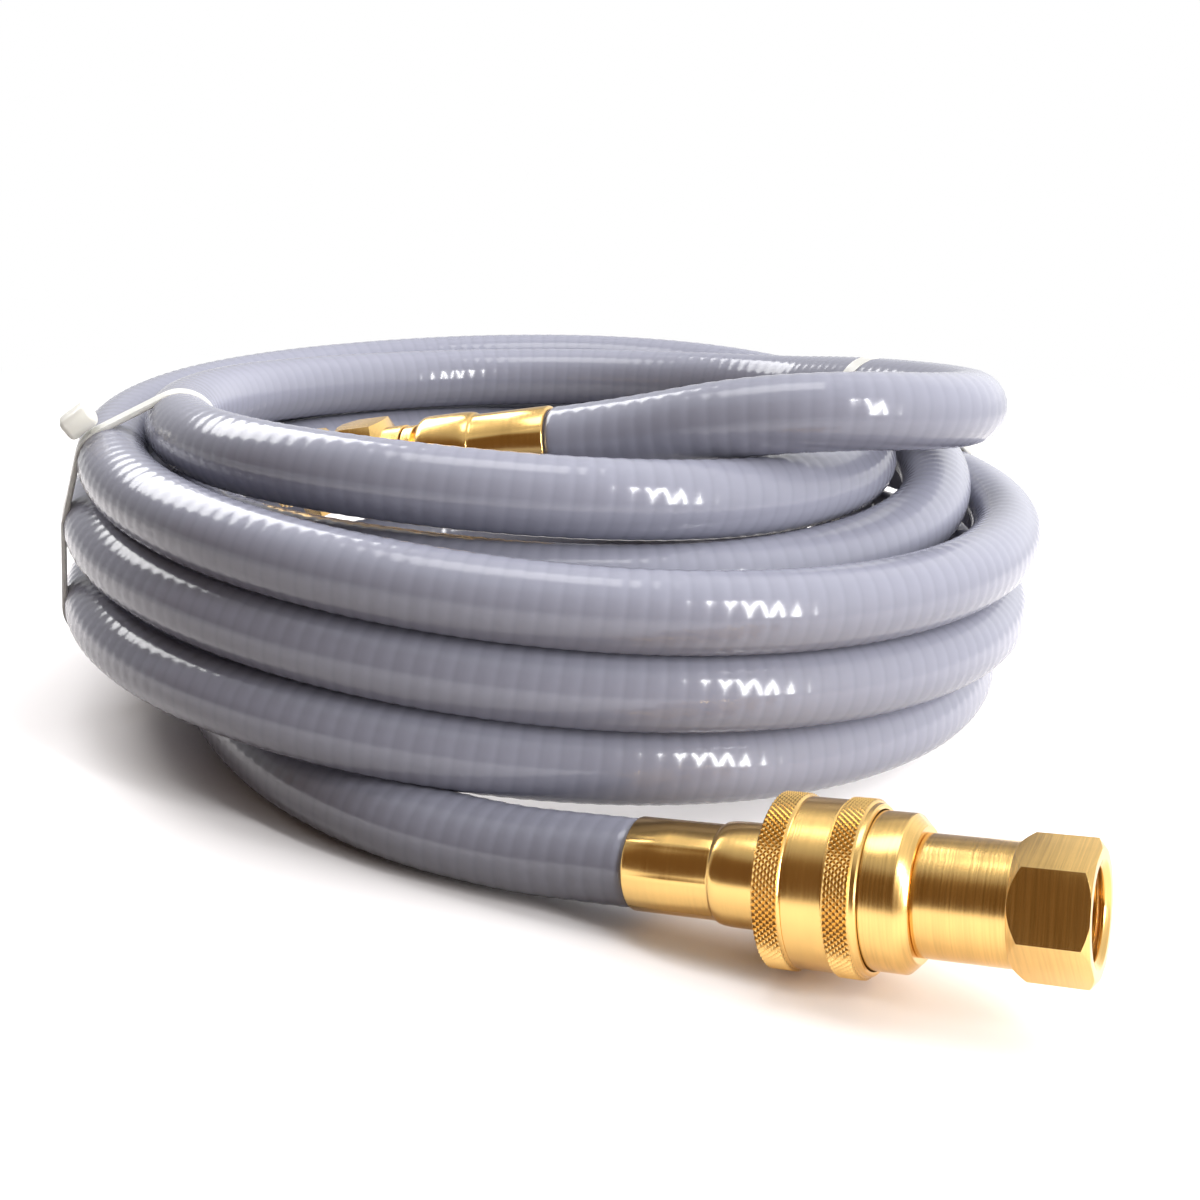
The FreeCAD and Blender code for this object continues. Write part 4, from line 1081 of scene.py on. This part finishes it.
class GASHOSE_OT_ties(Operator):
    """Make the two cable ties, each a strap with its locking head"""

    bl_idname = "gashose.ties"
    bl_label = "Cable Ties"

    def execute(self, context):
        sizes = context.scene.tie_sizes
        nylon = moulded_nylon()
        line = hose_line()
        ties = (("left", LEFT_TIE_PLACE, LEFT_HEAD_ANGLE), ("right", RIGHT_TIE_PLACE, RIGHT_HEAD_ANGLE))
        for side, turned, head_angle in ties:
            places = coil_crossings(line, turned)
            strap = tie_strap(side + "_tie_strap", places, sizes)
            angle = math.radians(turned)
            outward = Vector((-math.cos(angle), math.sin(angle), 0))
            across = outward.cross(Vector((0, 0, 1)))
            turn = Matrix((outward, Vector((0, 0, 1)), across)).transposed().to_4x4()
            plane = Matrix.Translation((COIL_X * MM, COIL_Y * MM, 0)) @ turn
            x = math.cos(math.radians(head_angle))
            z = math.sin(math.radians(head_angle))
            distance, height = max(places, key=lambda place: place[0] * x + place[1] * z)
            centre = (distance + HEAD_REACH * x, height + HEAD_REACH * z, 0)
            bpy.ops.object.select_all(action="DESELECT")
            bpy.ops.mesh.primitive_cube_add(size=1, location=centre,
                                            rotation=(0, 0, math.radians(head_angle)))
            head = context.object
            head.name = side + "_tie_head"
            head.scale = HEAD_SIZE
            bpy.ops.object.transform_apply(location=True, rotation=True, scale=True)
            apply_modifier(head, "BEVEL", width=HEAD_EDGE, segments=3, limit_method="NONE")
            smooth(head, 60)
            smooth(strap, 30)
            select_only(head)
            strap.select_set(True)
            context.view_layer.objects.active = strap
            bpy.ops.object.join()
            strap.name = side + "_tie"
            strap.data.transform(plane)
            keep_piece(strap, "hose", "tie_nylon", nylon, side + "_cable_tie")
        return {"FINISHED"}


def closing_spring(name, node, material):
    """Spring with a copy of the CAD one's mesh and this material, on the socket's body, where the CAD one is
    hidden.
    """
    spring = bpy.data.objects.new(name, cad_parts[node].data.copy())
    bpy.context.scene.collection.objects.link(spring)
    keep_piece(spring, "socket", "spring_steel", material, node)
    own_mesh(spring)


class GASHOSE_OT_inner_parts(Operator):
    """Give the parts inside the fittings their rubber, steel and brass"""

    bl_idname = "gashose.inner_parts"
    bl_label = "Inner Parts"

    def execute(self, context):
        rubber = plain_finish("nitrile_rubber", "#2A2A2C", 0.0, 0.5, 0.7, 2500.0)
        steel = plain_finish("drawn_spring_steel", "#C6C7C9", 1.0, 0.22, 0.36, 1800.0)
        brass = turned_brass("machined_brass_inside", INLET_PLACE, 6.0, 0.2, 0.2)
        jacket = plain_finish("vinyl_wall", "#9E9EAF", 0.0, 0.3, 0.4, 900.0)
        finishes = {
            rubber: ["plug_seal", "body_joint_seal", "valve_poppet_seal", "inlet_hose_end_liner",
                     "outlet_hose_end_liner"],
            steel: ["sleeve_stop_ring", "locking_balls"],
            brass: ["plug_nipple", "valve_poppet", "valve_guide"],
            jacket: ["inlet_hose_end_jacket", "outlet_hose_end_jacket"],
        }
        for material, names in finishes.items():
            for name in names:
                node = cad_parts[name]
                node.data.materials.clear()
                node.data.materials.append(material)
        closing_spring("sleeve_coil_spring", "sleeve_spring", steel)
        closing_spring("valve_coil_spring", "valve_spring", steel)
        return {"FINISHED"}


OPERATORS = [
    GASHOSE_OT_stage,
    GASHOSE_OT_ferrules,
    GASHOSE_OT_socket,
    GASHOSE_OT_sleeve,
    GASHOSE_OT_flare,
    GASHOSE_OT_hose,
    GASHOSE_OT_ties,
    GASHOSE_OT_inner_parts,
]


class GASHOSE_PT_panel(Panel):
    bl_label = "Gas Hose"
    bl_idname = "GASHOSE_PT_panel"
    bl_space_type = "VIEW_3D"
    bl_region_type = "UI"
    bl_category = "Gas Hose"

    def draw(self, context):
        scene = context.scene
        for group in (scene.hose_sizes, scene.fitting_sizes, scene.tie_sizes, scene.finish_colours):
            box = self.layout.box()
            for name in group.__annotations__:
                box.prop(group, name)
        for operator in OPERATORS:
            self.layout.operator(operator.bl_idname)


GROUPS = {
    "hose_sizes": HoseSizes,
    "fitting_sizes": FittingSizes,
    "tie_sizes": TieSizes,
    "finish_colours": FinishColours,
}


def register():
    for name, group in GROUPS.items():
        bpy.utils.register_class(group)
        setattr(bpy.types.Scene, name, PointerProperty(type=group))
    for operator in OPERATORS:
        bpy.utils.register_class(operator)
    bpy.utils.register_class(GASHOSE_PT_panel)


def unregister():
    bpy.utils.unregister_class(GASHOSE_PT_panel)
    for operator in reversed(OPERATORS):
        bpy.utils.unregister_class(operator)
    for name, group in GROUPS.items():
        delattr(bpy.types.Scene, name)
        bpy.utils.unregister_class(group)


def main():
    register()
    bpy.ops.gashose.stage()
    bpy.ops.gashose.ferrules()
    bpy.ops.gashose.socket()
    bpy.ops.gashose.sleeve()
    bpy.ops.gashose.flare()
    bpy.ops.gashose.hose()
    bpy.ops.gashose.ties()
    bpy.ops.gashose.inner_parts()


if __name__ == "__main__":
    main()
